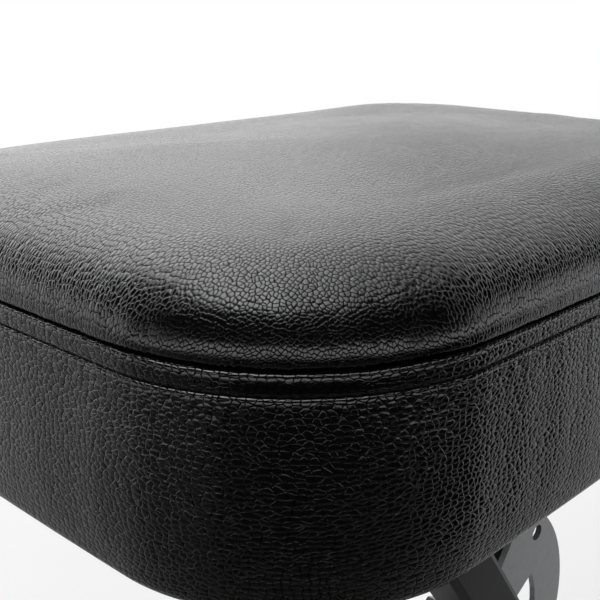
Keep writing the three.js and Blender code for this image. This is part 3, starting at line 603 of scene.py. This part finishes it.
def swell(grid, centre, pinned, grow, pressure, cap):
    """Runs Blender's cloth on rows of points and gives how far each has moved, in millimetres.

    grid has rows from the seam inwards, pinned is how many of them are sewn down, and grow says how
    much spare cloth each point has, from 0 to 1. cap is the move that none goes past."""
    rows, columns, _ = grid.shape
    points = np.vstack([grid.reshape(-1, 3), [centre]])
    faces = grid_faces(rows, columns) + fan_faces(rows, columns)
    made = make_object("cloth_work", points, faces, LEATHER)
    pin = made.vertex_groups.new(name="pin")
    pin.add(list(range(pinned * columns)), 1.0, "REPLACE")
    spare = made.vertex_groups.new(name="spare")
    for k, weight in enumerate(grow.ravel()):
        if weight > 0.001:
            spare.add([k], float(weight), "REPLACE")
    cloth = made.modifiers.new("cloth", "CLOTH")
    settings = cloth.settings
    settings.quality = 5
    settings.mass = 0.35
    settings.tension_stiffness = 60
    settings.compression_stiffness = 60
    settings.shear_stiffness = 20
    settings.bending_stiffness = 6
    settings.air_damping = 3
    settings.use_pressure = True
    settings.uniform_pressure_force = pressure
    settings.vertex_group_mass = "pin"
    settings.vertex_group_shrink = "spare"
    settings.shrink_min = 0.0
    settings.shrink_max = -0.035
    settings.effector_weights.gravity = 0
    cloth.collision_settings.use_collision = False
    cloth.collision_settings.use_self_collision = False
    scene = bpy.context.scene
    for step in range(1, CLOTH_STEPS + 1):
        scene.frame_set(step)
    evaluated = made.evaluated_get(bpy.context.evaluated_depsgraph_get())
    moved = np.zeros(len(points) * 3)
    evaluated.data.vertices.foreach_get("co", moved)
    scene.frame_set(1)
    bpy.data.objects.remove(made)
    shift = (moved.reshape(-1, 3) / MM - points)[:-1].reshape(rows, columns, 3)
    length = np.linalg.norm(shift, axis=2, keepdims=True)
    return shift / np.sqrt(1 + (length / cap) ** 2)


def finer_round(field, times):
    """Gives a closed field more points round the seat, on a smooth curve through its own."""
    count = field.shape[1]
    waves_in = np.fft.rfft(field, axis=1)
    padded = np.zeros((field.shape[0], count * times // 2 + 1, field.shape[2]), complex)
    padded[:, : waves_in.shape[1] - 1] = waves_in[:, :-1]
    return np.fft.irfft(padded, count * times, axis=1) * times


def finer_rows(field):
    """Doubles a field's rows with a smooth curve between them."""
    before = np.concatenate([field[:1], field[:-1]])
    after = np.concatenate([field[1:], field[-1:]])
    beyond = np.concatenate([field[2:], field[-1:], field[-1:]])
    middle = (-before + 9 * field + 9 * after - beyond) / 16
    return np.stack([field, middle], 1).reshape(-1, *field.shape[1:])[:-1]


# ---------- top panel

# Rows of the top panel: the lip that turns into the seam, the roll, and the crown towards the middle
LIP = [(4.5, -0.45), (3.0, -0.35), (1.9, -0.12), (1.1, 0.12), (0.5, 0.45), (0.14, 1.0)]
ROLL_INSETS = [0.03, 0.12, 0.3, 0.62, 1.1, 1.75, 2.6, 3.6, 4.8, 6.2, 7.8, 9.6, 11.6, 13.8, 16.2, 18.8, 21.6]
ROLL_INSETS += [24.6, 27.8, 31.2, 34.8, 38.6, 42.6, 46.8, 51.2, 55.8, 60.3, INNER_RING]
INNER_SHARES = [1 - step / 22 for step in range(1, 22)]
LIP_HEIGHT = 1.2

# Soft dents where the cover is short on the roll: place, depth and reach
DENTS = [
    (-148, -141, 486, 0.8, 16),
    (-200, -82, 489, 0.8, 14),
    (150, 140, 489, 1.0, 10),
    (197, -90, 489, 0.9, 9),
]


def top_height(inset):
    """Height of the top panel over the seam at an inset, starting from its lip."""
    rise = CROWN_RISE + DOME_RISE
    return LIP_HEIGHT + crown(inset) * (rise - LIP_HEIGHT) / rise


def top_rows():
    """Rows of the top panel before it is sewn: points, map points, and how far each is from the seam."""
    rows, travel, flats = [], [], []
    distance = 0.0
    flat = np.zeros(ROUND)
    least = 0.52 + 0.48 * CORNERNESS
    previous = None
    for inset, z in LIP + [(inset, top_height(inset)) for inset in ROLL_INSETS]:
        if previous is not None:
            length = math.hypot(inset - previous[0], z - previous[1])
            distance += length
            flat = flat + length * (least + (1 - least) * smooth_step(inset, 24, 50))
        rows.append(np.column_stack([loop_at(inset), np.full(ROUND, BAND_HEIGHT + z)]))
        flats.append(flat)
        travel.append(distance)
        previous = (inset, z)
    maps = [CORE + (CORNER - INNER_RING + flat - laid)[:, None] * WAY for laid in flats]
    ring, ring_map = rows[-1][:, :2], maps[-1]
    for share in INNER_SHARES:
        inset = INNER_RING + (SEAT_WIDTH / 2 - INNER_RING) * (1 - share)
        rows.append(np.column_stack([ring * share, np.full(ROUND, BAND_HEIGHT + top_height(inset))]))
        maps.append(ring_map * share)
        travel.append(distance + (inset - INNER_RING))
    centre = np.array([0, 0, BAND_HEIGHT + CROWN_RISE + DOME_RISE])
    return np.array(rows), np.array(maps), np.array(travel), centre


def normals_of(grid):
    """Unit normals of rows of points that run round the seat, outwards for the top panel."""
    around = np.roll(grid, -1, 1) - np.roll(grid, 1, 1)
    normal = np.cross(around, np.gradient(grid, axis=0))
    return normal / np.maximum(np.linalg.norm(normal, axis=2, keepdims=True), 1e-9)


def top_panel():
    """Top panel of the cover: puffed up by the cloth, then gathered, pulled and dented."""
    grid, maps, travel, centre = top_rows()
    centre_lift = centre[2] - grid[-1, :, 2].mean()
    kept = travel[::COARSE_ROWS]
    spare = CORNERNESS[None, ::COARSE_ROUND] ** 0.7 * hump(kept[:, None], 17, 17)
    coarse = grid[::COARSE_ROWS, ::COARSE_ROUND]
    shift = swell(coarse, centre, pinned=4, grow=spare, pressure=0.9, cap=3.0)
    calm = smooth_step(kept, 50, 90)[:, None, None]
    level = shift[np.argmin(abs(kept - 75))].mean(axis=0)
    shift = shift * (1 - calm) + level * calm * 0.25
    grid += finer_rows(finer_round(shift, COARSE_ROUND))
    normal = normals_of(grid)
    reach = travel[:, None]
    corner = CORNERNESS[None, :]
    gather = waves(11, 2.2, 7)[None, :] * hump(reach, 6.5, 5) * (0.03 + 0.07 * corner)
    lip = smooth_step(travel, 2.2, 4.6) * (1 - smooth_step(travel, 5.2, 8.5))
    ragged = waves(14, 1.8, 4)[None, :] * (0.08 + 0.08 * corner) + waves(15, 7, 40)[None, :] * 0.08
    grid[:, :, 2] += lip[:, None] * (0.14 + 0.28 * corner + ragged)
    pull = waves(12, 12, 30)[None, :] * hump(reach, 15, 12) * (0.05 + 0.12 * corner)
    sway = drift(13, grid, 90, 240) * smooth_step(reach, 8, 40) * 0.16
    dents = sum(
        depth * np.exp(-(np.linalg.norm(grid - [x, y, z - SEAT_BASE], axis=2) / reach_of) ** 2)
        for x, y, z, depth, reach_of in DENTS
    )
    grid += normal * (gather + pull + sway - dents)[:, :, None]
    centre = grid[-1].mean(axis=0) + [0, 0, centre_lift]
    points = np.vstack([grid.reshape(-1, 3), [centre]])
    faces = grid_faces(len(grid), ROUND) + fan_faces(len(grid), ROUND)
    made = make_object("top_panel", points + [0, 0, SEAT_BASE], faces, LEATHER)
    add_grain_map(made, np.concatenate([maps, maps[:, :1]], 1), (0, 0))

    # the grain lies flat where the cover is tight and deep towards PHOTO_RIGHT, where the material's painted
    # crease shade also widens
    side = PHOTO_RIGHT[0] * grid[:, :, 0] + PHOTO_RIGHT[1] * grid[:, :, 1]
    deeper_towards_right = smooth_step(side, -40, 30) * smooth_step(reach, 18, 38)
    tight = np.maximum(smooth_step(corner, 0.05, 0.5), 0.75 * smooth_step(side, -50, 10))
    depth = 0.35 + 0.8 * smooth_step(reach, 2.5, 16) - 0.95 * tight * hump(reach, 15, 9) + 2.2 * deeper_towards_right
    add_depth(made, np.append(np.maximum(depth, 0.2).ravel(), 1.0))
    return made


# ---------- side band

# Rows of the band from the seam down: how far out from the seam's line, and height from the seam
BAND_UPPER = [
    (-4.5, -0.62), (-3.0, -0.6), (-1.8, -0.58), (-1.0, -0.55), (-0.42, -0.66), (-0.06, -1.05), (0.12, -1.7),
    (0.26, -2.7), (0.32, -3.8), (0.3, -5.0), (0.2, -6.1), (0.06, -6.95), (-0.1, -7.42),
    (-0.45, -7.66), (-1.2, -7.8), (-1.2, -8.0), (-0.45, -8.14), (-0.06, -8.3), (0.26, -8.6), (0.44, -9.1),
    (0.52, -10.0), (0.6, -12.0), (0.74, -15.6), (0.94, -20), (1.1, -25), (1.24, -31), (1.34, -38),
    (1.38, -45), (1.36, -52), (1.26, -58.5), (1.06, -64), (0.78, -68.5), (0.45, -72), (0.15, -74.5),
]


def band_rows():
    """All rows of the band: its side, the hem's rounded corner, the hem and its cut edge."""
    rows = list(BAND_UPPER)
    under = -BAND_HEIGHT + UNDERSIDE
    for step in range(1, 9):
        turn = step / 8 * math.pi / 2
        out = -HEM_ROUND * (1 - math.cos(turn))
        rows.append((out, under + HEM_ROUND - HEM_ROUND * math.sin(turn)))
    for inset in (9, 12, 15, 18, 21, 23.5, 25.2, HEM_WIDTH):
        rows.append((-inset, under))
    rows += [(-HEM_WIDTH - 0.15, under + 0.4), (-HEM_WIDTH - 0.15, under + 1.1)]
    return rows


def side_band():
    """Side of the cover, with its folded strip over the stitches, down to the hem under the board."""
    rows = band_rows()
    profile = np.array(rows)
    steps = np.hypot(*np.diff(profile, axis=0).T)
    travel = np.concatenate([[0], np.cumsum(steps)])
    grid = np.array([np.column_stack([loop_at(-out), np.full(ROUND, BAND_HEIGHT + z)]) for out, z in rows])
    normal = -normals_of(grid)
    drop = -profile[:, 1][:, None]
    corner = CORNERNESS[None, :]
    on_side = (profile[:, 0] > -3)[:, None] * 1.0
    strip = hump(drop, 4.0, 2.6)
    puckers = waves(21, 2.2, 9.0)[None, :] * strip * (0.04 + 0.07 * corner)
    below = waves(22, 4, 12)[None, :] * hump(drop, 11.5, 4.5) * (0.05 + 0.1 * corner)
    ragged = waves(26, 2.0, 5)[None, :] * 0.035 + waves(27, 7, 40)[None, :] * 0.06
    opening = 0.1 + 0.28 * corner + ragged
    fold = smooth_step(profile[:, 0], -2.5, -0.4)[:, None] * (1 - smooth_step(drop, 0.7, 2.4))
    grid[:, :, 2] -= fold * opening
    folds = waves(23, 18, 45)[None, :] * smooth_step(drop, 9, 20) * (1 - smooth_step(drop, 60, 76)) * 0.06
    sway = smooth_step(drop, 12, 40) * (1 - smooth_step(drop, 58, 76))
    sway = waves(24, 80, 300, 24)[None, :] * sway * 0.3
    grid += normal * ((puckers + below + folds + sway) * on_side)[:, :, None]
    edge = waves(25, 14, 60)[None, :] * smooth_step(travel[:, None], travel[-8], travel[-3]) * 0.5
    grid[:, :, :2] += WAY[None] * edge[:, :, None]
    points = grid.reshape(-1, 3) + [0, 0, SEAT_BASE]
    made = make_object("side_band", points, grid_faces(len(rows), ROUND, flip=True), LEATHER)
    columns = np.append(ALONG, PERIMETER)
    curl = 1.2 * np.sin(travel / 9)[:, None] * np.sin(2 * math.pi * 9 * columns / PERIMETER)[None, :]
    # the map starts clear of the top panel's
    maps = np.stack([0.54 * columns[None, :] + curl, 300 + 0.78 * travel[:, None] + 0.6 * curl], 2)
    add_grain_map(made, maps)
    depth = 0.75 + 0.3 * smooth_step(drop, 7.9, 12) - 0.2 * strip - 0.65 * corner**4
    add_depth(made, depth.ravel())
    return made


# Stitches: pitch and radius, and each ring of one by its shares of the length and the radius
STITCH_PITCH = 4.3
STITCH_RADIUS = 0.27
STITCH_RINGS = [(0.0, 0.35), (0.06, 0.8), (0.3, 1.0), (0.7, 1.0), (0.94, 0.8), (1.0, 0.35)]


def stitches():
    """Top-stitch thread, pulled into its crease: one short bent stitch after another."""
    count = int(PERIMETER / STITCH_PITCH)
    length = 0.8 * STITCH_PITCH
    line = loop_at(1.05)
    line = np.vstack([line, line[:1]])
    along = np.append(ALONG, PERIMETER)
    rng = np.random.default_rng(31)
    points, faces = [], []
    sides = 6
    for k in range(count):
        start = (k + 0.12) * PERIMETER / count
        tilt = rng.normal(0, 0.04)
        faces += rod_faces(len(STITCH_RINGS), sides, len(points))
        for share, size in STITCH_RINGS:
            at = start + share * length
            middle = np.array([np.interp(at, along, line[:, d]) for d in (0, 1)])
            ahead = np.array([np.interp(at + 0.5, along, line[:, d], period=PERIMETER) for d in (0, 1)])
            forward = (ahead - middle) / max(np.linalg.norm(ahead - middle), 1e-9)
            outward = np.array([forward[1], -forward[0]])
            sink = 0.55 * (2 * share - 1) ** 4
            z = BAND_HEIGHT - STITCH_DROP + tilt * (share - 0.5) * 2 + SEAT_BASE
            for s in range(sides):
                angle = 2 * math.pi * s / sides
                across = STITCH_RADIUS * size * math.cos(angle) - sink
                points.append([*(middle + outward * across), z + STITCH_RADIUS * size * math.sin(angle)])
    return make_object("top_stitch", points, faces, THREAD)


# ---------- underside


def dust_sheet():
    """Non-woven cloth over the underside, its folded edge laid on the hem and stapled."""
    fold = HEM_WIDTH - 6
    insets = [fold, fold + 0.25, HEM_WIDTH - 3, HEM_WIDTH, HEM_WIDTH + 1.2, HEM_WIDTH + 3, 33, 40, 50, 62]
    thin = 4  # it takes every fourth point round the seat
    columns = ROUND // thin
    rows = []
    ripple = waves(41, 16, 50)[::thin]
    slack = waves(42, 40, 120)[::thin]
    for inset in insets:
        over = 1 - smooth_step(inset, HEM_WIDTH, HEM_WIDTH + 3)
        base = UNDERSIDE - 0.14 * over + 0.35 * (1 - over)
        wave = 0.05 * over * ripple + 0.28 * smooth_step(inset, HEM_WIDTH + 3, 45) * slack
        rows.append(np.column_stack([loop_at(inset)[::thin], base + wave]))
    last = rows[-1]
    for share in (0.86, 0.72, 0.58, 0.44, 0.3, 0.15):
        ring = last.copy()
        ring[:, :2] *= share
        ring[:, 2] = UNDERSIDE + 0.35 + 0.28 * slack * share
        rows.append(ring)
    grid = np.array(rows)
    grid[0, :, 2] += 0.1
    points = np.vstack([grid.reshape(-1, 3), [[0, 0, UNDERSIDE + 0.35]]])
    faces = grid_faces(len(rows), columns, flip=True) + fan_faces(len(rows), columns, flip=True)
    made = make_object("dust_sheet", points + [0, 0, SEAT_BASE], faces, DUST)
    loop = grid[0][:, :2]
    following = np.roll(loop, -1, 0)
    area = abs(np.sum(loop[:, 0] * following[:, 1] - loop[:, 1] * following[:, 0])) / 2 * MM * MM
    size = (loop.max(0) - loop.min(0)) * MM
    return made, [float(x) for x in size], float(area)


# Staples: how many, half their crown, half their wire's width, its thickness, leg and bend
STAPLES = 46
STAPLE_HALF, STAPLE_WIRE, STAPLE_THICK, STAPLE_LEG, STAPLE_BEND = 5.0, 0.6, 0.45, 2.2, 0.35


def staples():
    """Flat-wire staples round the dust cloth, left out where a bracket or rail lies."""
    covered = []
    for name in nodes:
        if name.startswith(("hinge_bracket", "slide_rail")):
            low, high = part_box(name)
            covered.append((low.x / MM - 8, high.x / MM + 8, low.y / MM - 8, high.y / MM + 8))
    line = loop_at(HEM_WIDTH - 1.5)
    rng = np.random.default_rng(51)
    half = [(STAPLE_HALF - STAPLE_BEND, 0.0), (STAPLE_HALF, STAPLE_BEND), (STAPLE_HALF, STAPLE_LEG)]
    path = [(-s, z) for s, z in half[::-1]] + half
    bottom = SEAT_BASE + (UNDERSIDE - 0.2 - STAPLE_THICK)
    points, faces = [], []
    for k in range(STAPLES):
        index = int((k + 0.5) / STAPLES * ROUND)
        x, y = line[index]
        if any(a < x < b and c < y < d for a, b, c, d in covered):
            continue
        turn = math.atan2(WAY[index][1], WAY[index][0]) + rng.normal(0, 0.12) + math.pi / 2
        along = np.array([math.cos(turn), math.sin(turn)])
        across = np.array([-along[1], along[0]])
        faces += rod_faces(len(path), 4, len(points))
        for place, (s, z) in enumerate(path):
            inner = (s - math.copysign(STAPLE_THICK, s), z + (STAPLE_THICK if 1 <= place <= 4 else 0))
            for edge_s, edge_z, side in ((s, z, -1), (s, z, 1), (*inner, 1), (*inner, -1)):
                flat = np.array([x, y]) + along * edge_s + across * side * STAPLE_WIRE
                points.append([*flat, bottom + edge_z])
    return make_object("staples", points, faces, ZINC, smooth=False)


# ---------- lock spring

SPRING_WIRE = 0.7
SPRING_TURNS = 6
PULL_TRAVEL = 7


def lock_spring():
    """Round-wire coil of the lock, between the plunger's collar and the cap at its fixed end."""
    low, high = (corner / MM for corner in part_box("plunger_spring"))
    middle_x, middle_z = (low.x + high.x) / 2, (low.z + high.z) / 2
    reach = (high.x - low.x) / 2 - SPRING_WIRE
    first, last = low.y + SPRING_WIRE, high.y - SPRING_WIRE
    steps, sides = 28, 8
    count = SPRING_TURNS * steps
    ahead = np.array([0, 1, 0])
    points = []
    for k in range(count + 1):
        turn = 2 * math.pi * k / steps
        out = np.array([math.sin(turn), 0, math.cos(turn)])
        centre = np.array([middle_x, first + (last - first) * k / count, middle_z]) + reach * out
        for s in range(sides):
            angle = 2 * math.pi * s / sides
            points.append(centre + SPRING_WIRE * (math.cos(angle) * out + math.sin(angle) * ahead))
    made = make_object("lock_spring", points, rod_faces(count + 1, sides, flip=True), SPRING)
    length = (high.y - low.y) * MM
    return made, (middle_x * MM, low.y * MM, middle_z * MM), 1 - PULL_TRAVEL * MM / length


# ---------- weld beads

WELD_RADIUS = 2.0
WELD_STEP = 0.75
WELD_RIPPLE = 2.6


def weld_bead(name, foot, leg_y, lean):
    """Weld bead round a leg where it meets its foot tube. lean is the X direction up the leg."""
    slope = math.radians(REST_ANGLE)
    top = side = TUBE_HALF + 0.5
    toe = -TUBE_HALF * math.sin(slope) + (top - TUBE_HALF * math.cos(slope)) / math.tan(slope) - 0.6
    heel = -TUBE_HALF * math.cos(slope) + (side - TUBE_HALF * math.sin(slope)) * math.tan(slope) - 0.8
    half = TUBE_HALF + 0.4
    corners = [(toe, -half, top), (toe, half, top), (side, half, top)]
    corners = np.array(corners + [(side, half, heel), (side, -half, heel), (side, -half, top)])
    path = []
    for before, here, after in zip(np.roll(corners, 1, 0), corners, np.roll(corners, -1, 0)):
        into, out = (
            here + (other - here) * min(0.45, 3.2 / np.linalg.norm(other - here)) for other in (before, after)
        )
        for t in (0, 0.33, 0.67, 1):
            path.append((1 - t) ** 2 * into + 2 * t * (1 - t) * here + t**2 * out)
    looped = np.vstack([path, path[:1]])
    length = np.concatenate([[0], np.cumsum(np.linalg.norm(np.diff(looped, axis=0), axis=1))])
    count = int(length[-1] / WELD_STEP)
    places = np.linspace(0, length[-1], count, endpoint=False)
    line = np.column_stack([np.interp(places, length, looped[:, k]) for k in range(3)])
    forward = np.roll(line, -1, 0) - np.roll(line, 1, 0)
    forward /= np.linalg.norm(forward, axis=1, keepdims=True)
    rng = np.random.default_rng(len(name) * 7 + int(leg_y) + 200)
    ripple = 1 + 0.11 * np.abs(np.sin(math.pi * places / WELD_RIPPLE)) + 0.05 * rng.normal(size=count)
    sides = 8
    points = []
    centre = np.array([(toe + side) / 2, 0, (top + heel) / 2])
    for k in range(count):
        out = line[k] - centre
        out -= forward[k] * (out @ forward[k])
        out /= np.linalg.norm(out)
        up = np.cross(forward[k], out)
        for s in range(sides):
            angle = 2 * math.pi * s / sides
            points.append(line[k] + WELD_RADIUS * ripple[k] * (math.cos(angle) * out + math.sin(angle) * up))
    points = np.array(points)
    points[:, 0] *= lean
    points += [foot[0], leg_y, foot[1]]
    faces = []
    for k in range(count):
        n = (k + 1) % count
        for s in range(sides):
            t = (s + 1) % sides
            face = (k * sides + s, n * sides + s, n * sides + t, k * sides + t)
            faces.append(face if lean > 0 else face[::-1])
    return make_object(name, points, faces, PAINT)


# ---------- studio


def part_along(tree, place, along):
    """How far a place or heading goes along a direction."""
    node = tree.nodes.new("ShaderNodeVectorMath")
    node.operation = "DOT_PRODUCT"
    node.inputs[1].default_value = along
    tree.links.new(place, node.inputs[0])
    return node.outputs["Value"]


def blend_shaders(tree, share, first, second, output):
    """Gives the output the first shader, and the second by a share."""
    blend = tree.nodes.new("ShaderNodeMixShader")
    for value, socket in zip((share, first.outputs[0], second.outputs[0]), blend.inputs):
        tree.links.new(value, socket)
    tree.links.new(blend.outputs[0], output.inputs[0])


def studio_world():
    """Plain white to the camera, a white cove behind and above to reflections, and a dim fill light."""
    world = bpy.data.worlds.new("studio")
    world.use_nodes = True
    tree = world.node_tree
    tree.nodes.clear()
    seen = tree.nodes.new("ShaderNodeBackground")
    fill = tree.nodes.new("ShaderNodeBackground")
    path = tree.nodes.new("ShaderNodeLightPath").outputs
    plain = math_node(tree, "MAXIMUM", path["Is Camera Ray"], path["Is Transmission Ray"])
    heading = tree.nodes.new("ShaderNodeTexCoord").outputs["Generated"]
    height = part_along(tree, heading, (0, 0, 1))

    # the cove's wall and ceiling, brighter upwards and darker towards the photo's right
    wall = remap(tree, part_along(tree, heading, WALL_WAY), 0.38, 0.56, 0, 1, smooth=True)
    ceiling = remap(tree, height, 0.68, 0.81, 0, 1, smooth=True)
    rise = remap(tree, height, 0.1, 0.9, 1.34, 3.1)
    falling = remap(tree, part_along(tree, heading, PHOTO_RIGHT), -0.42, 0.45, 0.0, 1.0, smooth=True)
    falling = math_node(tree, "MULTIPLY", falling, remap(tree, height, 0.12, 0.3, -0.3, -0.62))
    falling = math_node(tree, "ADD", falling, 1.0)
    cove = math_node(tree, "MULTIPLY", math_node(tree, "MAXIMUM", wall, ceiling), rise)
    cove = math_node(tree, "MULTIPLY", cove, falling)

    # low light from beside and before the bench
    beside = remap(tree, height, 0.05, 0.25, 0.85, 0.0, smooth=True)
    ahead = remap(tree, part_along(tree, heading, SIDE_WAY), -0.5, 0.25, 0.0, 1.0, smooth=True)
    beside = math_node(tree, "MULTIPLY", beside, ahead)
    before = remap(tree, height, 0.0, 0.1, 1.25, 0.0, smooth=True)
    facing = remap(tree, part_along(tree, heading, PHOTO_AHEAD), -0.8, -0.35, 1.0, 0.0, smooth=True)
    before = math_node(tree, "MULTIPLY", before, facing)
    white = math_node(tree, "MAXIMUM", cove, math_node(tree, "MAXIMUM", beside, before))

    white = math_node(tree, "MULTIPLY", white, math_node(tree, "SUBTRACT", 1.0, plain))
    tint(tree, seen, plain, (0.5, 0.5, 0.5), (1, 1, 1), "Color")
    strength = math_node(tree, "ADD", math_node(tree, "MULTIPLY", white, 2.0), plain)
    tree.links.new(strength, seen.inputs["Strength"])
    fill.inputs["Color"].default_value = (1, 1, 1, 1)
    fill.inputs["Strength"].default_value = 0.25
    direct = math_node(tree, "MAXIMUM", plain, path["Is Glossy Ray"])
    blend_shaders(tree, direct, fill, seen, tree.nodes.new("ShaderNodeOutputWorld"))
    world.cycles.sampling_method = "NONE"
    bpy.context.scene.world = world


def studio_floor():
    """White floor that glows plain white far off. For rays other than the camera's its colour darkens in
    front as painted shade.
    """
    material, tree, shader = new_material("pale_floor")
    path = tree.nodes.new("ShaderNodeLightPath").outputs
    direct = math_node(tree, "MAXIMUM", path["Is Camera Ray"], path["Is Transmission Ray"])
    place = object_coordinates(tree)
    spot = tree.nodes.new("ShaderNodeVectorMath")
    spot.operation = "LENGTH"
    tree.links.new(place, spot.inputs[0])
    off = spot.outputs["Value"]
    far_off = remap(tree, off, 1.6, 3.2, 0.0, 0.8, smooth=True)
    # painted shade: for every ray but the camera's the floor's colour falls towards black in front
    bright = remap(tree, part_along(tree, place, FLOOR_WAY), -0.5, 0.95, 0.04, 0.85)
    away = math_node(tree, "MAXIMUM", math_node(tree, "MAXIMUM", far_off, bright), direct)
    tint(tree, shader, away, (0, 0, 0), (0.8, 0.8, 0.8))
    shader.inputs["Roughness"].default_value = 0.9
    shader.inputs["Specular IOR Level"].default_value = 0.0
    glow = tree.nodes.new("ShaderNodeEmission")
    glow.inputs["Color"].default_value = (1, 1, 1, 1)
    far = math_node(tree, "MULTIPLY", remap(tree, off, 0.55, 1.5, 0.0, 1.0, smooth=True), direct)
    horizon = remap(tree, off, 2.2, 3.6, 0.0, 0.9, smooth=True)
    horizon = math_node(tree, "MULTIPLY", horizon, path["Is Glossy Ray"])
    output = next(n for n in tree.nodes if n.type == "OUTPUT_MATERIAL")
    blend_shaders(tree, math_node(tree, "MAXIMUM", far, horizon), shader, glow, output)
    size, z = 9000, -0.2
    corners = [(-size, -size, z), (size, -size, z), (size, size, z), (-size, size, z)]
    return make_object("floor", corners, [(0, 1, 2, 3)], material)


def black_flag():
    """Low black screen round the near side, which reflections alone see."""
    material, _, shader = new_material("black_flag")
    shader.inputs["Base Color"].default_value = (0.002, 0.002, 0.002, 1)
    shader.inputs["Roughness"].default_value = 1.0
    shader.inputs["Specular IOR Level"].default_value = 0.0
    radius, height = 620, 350
    points, faces = [], []
    for k, azimuth in enumerate(np.radians(np.linspace(-166, -36, 17))):
        for z in (0, height):
            points.append((-125 + radius * math.cos(azimuth), -67 + radius * math.sin(azimuth), z))
        if k:
            faces.append((2 * k - 2, 2 * k, 2 * k + 1, 2 * k - 1))
    flag = make_object("flag", points, faces, material)
    for ray in ("camera", "diffuse", "transmission", "volume_scatter", "shadow"):
        setattr(flag, f"visible_{ray}", False)
    return flag


def studio():
    """World, floor, flag and lamps."""
    scene = bpy.context.scene
    scene.view_settings.view_transform = "Standard"
    studio_world()
    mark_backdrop(studio_floor(), black_flag())
    for name, (place, aim, size, power) in LAMPS.items():
        data = bpy.data.lights.new(name, "AREA")
        data.shape = "DISK"
        data.size = size
        data.energy = power
        made = bpy.data.objects.new(name, data)
        made.location = place
        made.rotation_euler = (Vector((0, 0, aim)) - Vector(place)).to_track_quat("-Z", "Y").to_euler()
        made.visible_glossy = False
        scene.collection.objects.link(made)


def camera():
    """The photo's view."""
    data = bpy.data.cameras.new("camera")
    data.lens = CAMERA_LENS
    data.sensor_width = 36
    data.clip_start = 0.01
    made = bpy.data.objects.new("camera", data)
    bpy.context.scene.collection.objects.link(made)
    level = math.cos(CAMERA_PITCH)
    ahead = Vector((math.sin(CAMERA_YAW) * level, math.cos(CAMERA_YAW) * level, -math.sin(CAMERA_PITCH)))
    right = ahead.cross(Vector((0, 0, 1))).normalized()
    up = right.cross(ahead)
    right, up = (
        right * math.cos(CAMERA_ROLL) + up * math.sin(CAMERA_ROLL),
        up * math.cos(CAMERA_ROLL) - right * math.sin(CAMERA_ROLL),
    )
    turn = Matrix((right, up, -ahead)).transposed().to_4x4()
    made.matrix_world = Matrix.Translation(CAMERA_PLACE) @ turn
    bpy.context.scene.camera = made


# ---------- assembly

camera()
studio()
dress_nodes()

top = top_panel()
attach(top, "seat")
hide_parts("cover_top", "seat_foam")

band = side_band()
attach(band, "seat")
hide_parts("cover_band")

stitch = stitches()
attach(stitch, "seat")

sheet, sheet_size, sheet_area = dust_sheet()
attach(sheet, "seat")
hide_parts("dust_cloth")

tacks = staples()
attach(tacks, "seat")

coil, coil_anchor, coil_keep = lock_spring()
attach(coil, "outer_frame")
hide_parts("plunger_spring")
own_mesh(coil)

for prefix, leg_place, lean in (("outer", OUTER_LEG_Y, -1), ("inner", INNER_LEG_Y, 1)):
    body = f"{prefix}_frame"
    low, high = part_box(f"{prefix}_foot_tube")
    foot = ((low.x + high.x) / 2 / MM, (low.z + high.z) / 2 / MM)
    for side, sign in (("front", -1), ("rear", 1)):
        bead = weld_bead(f"{prefix}_weld_{side}", foot, sign * leg_place, lean)
        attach(bead, body)

low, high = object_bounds()
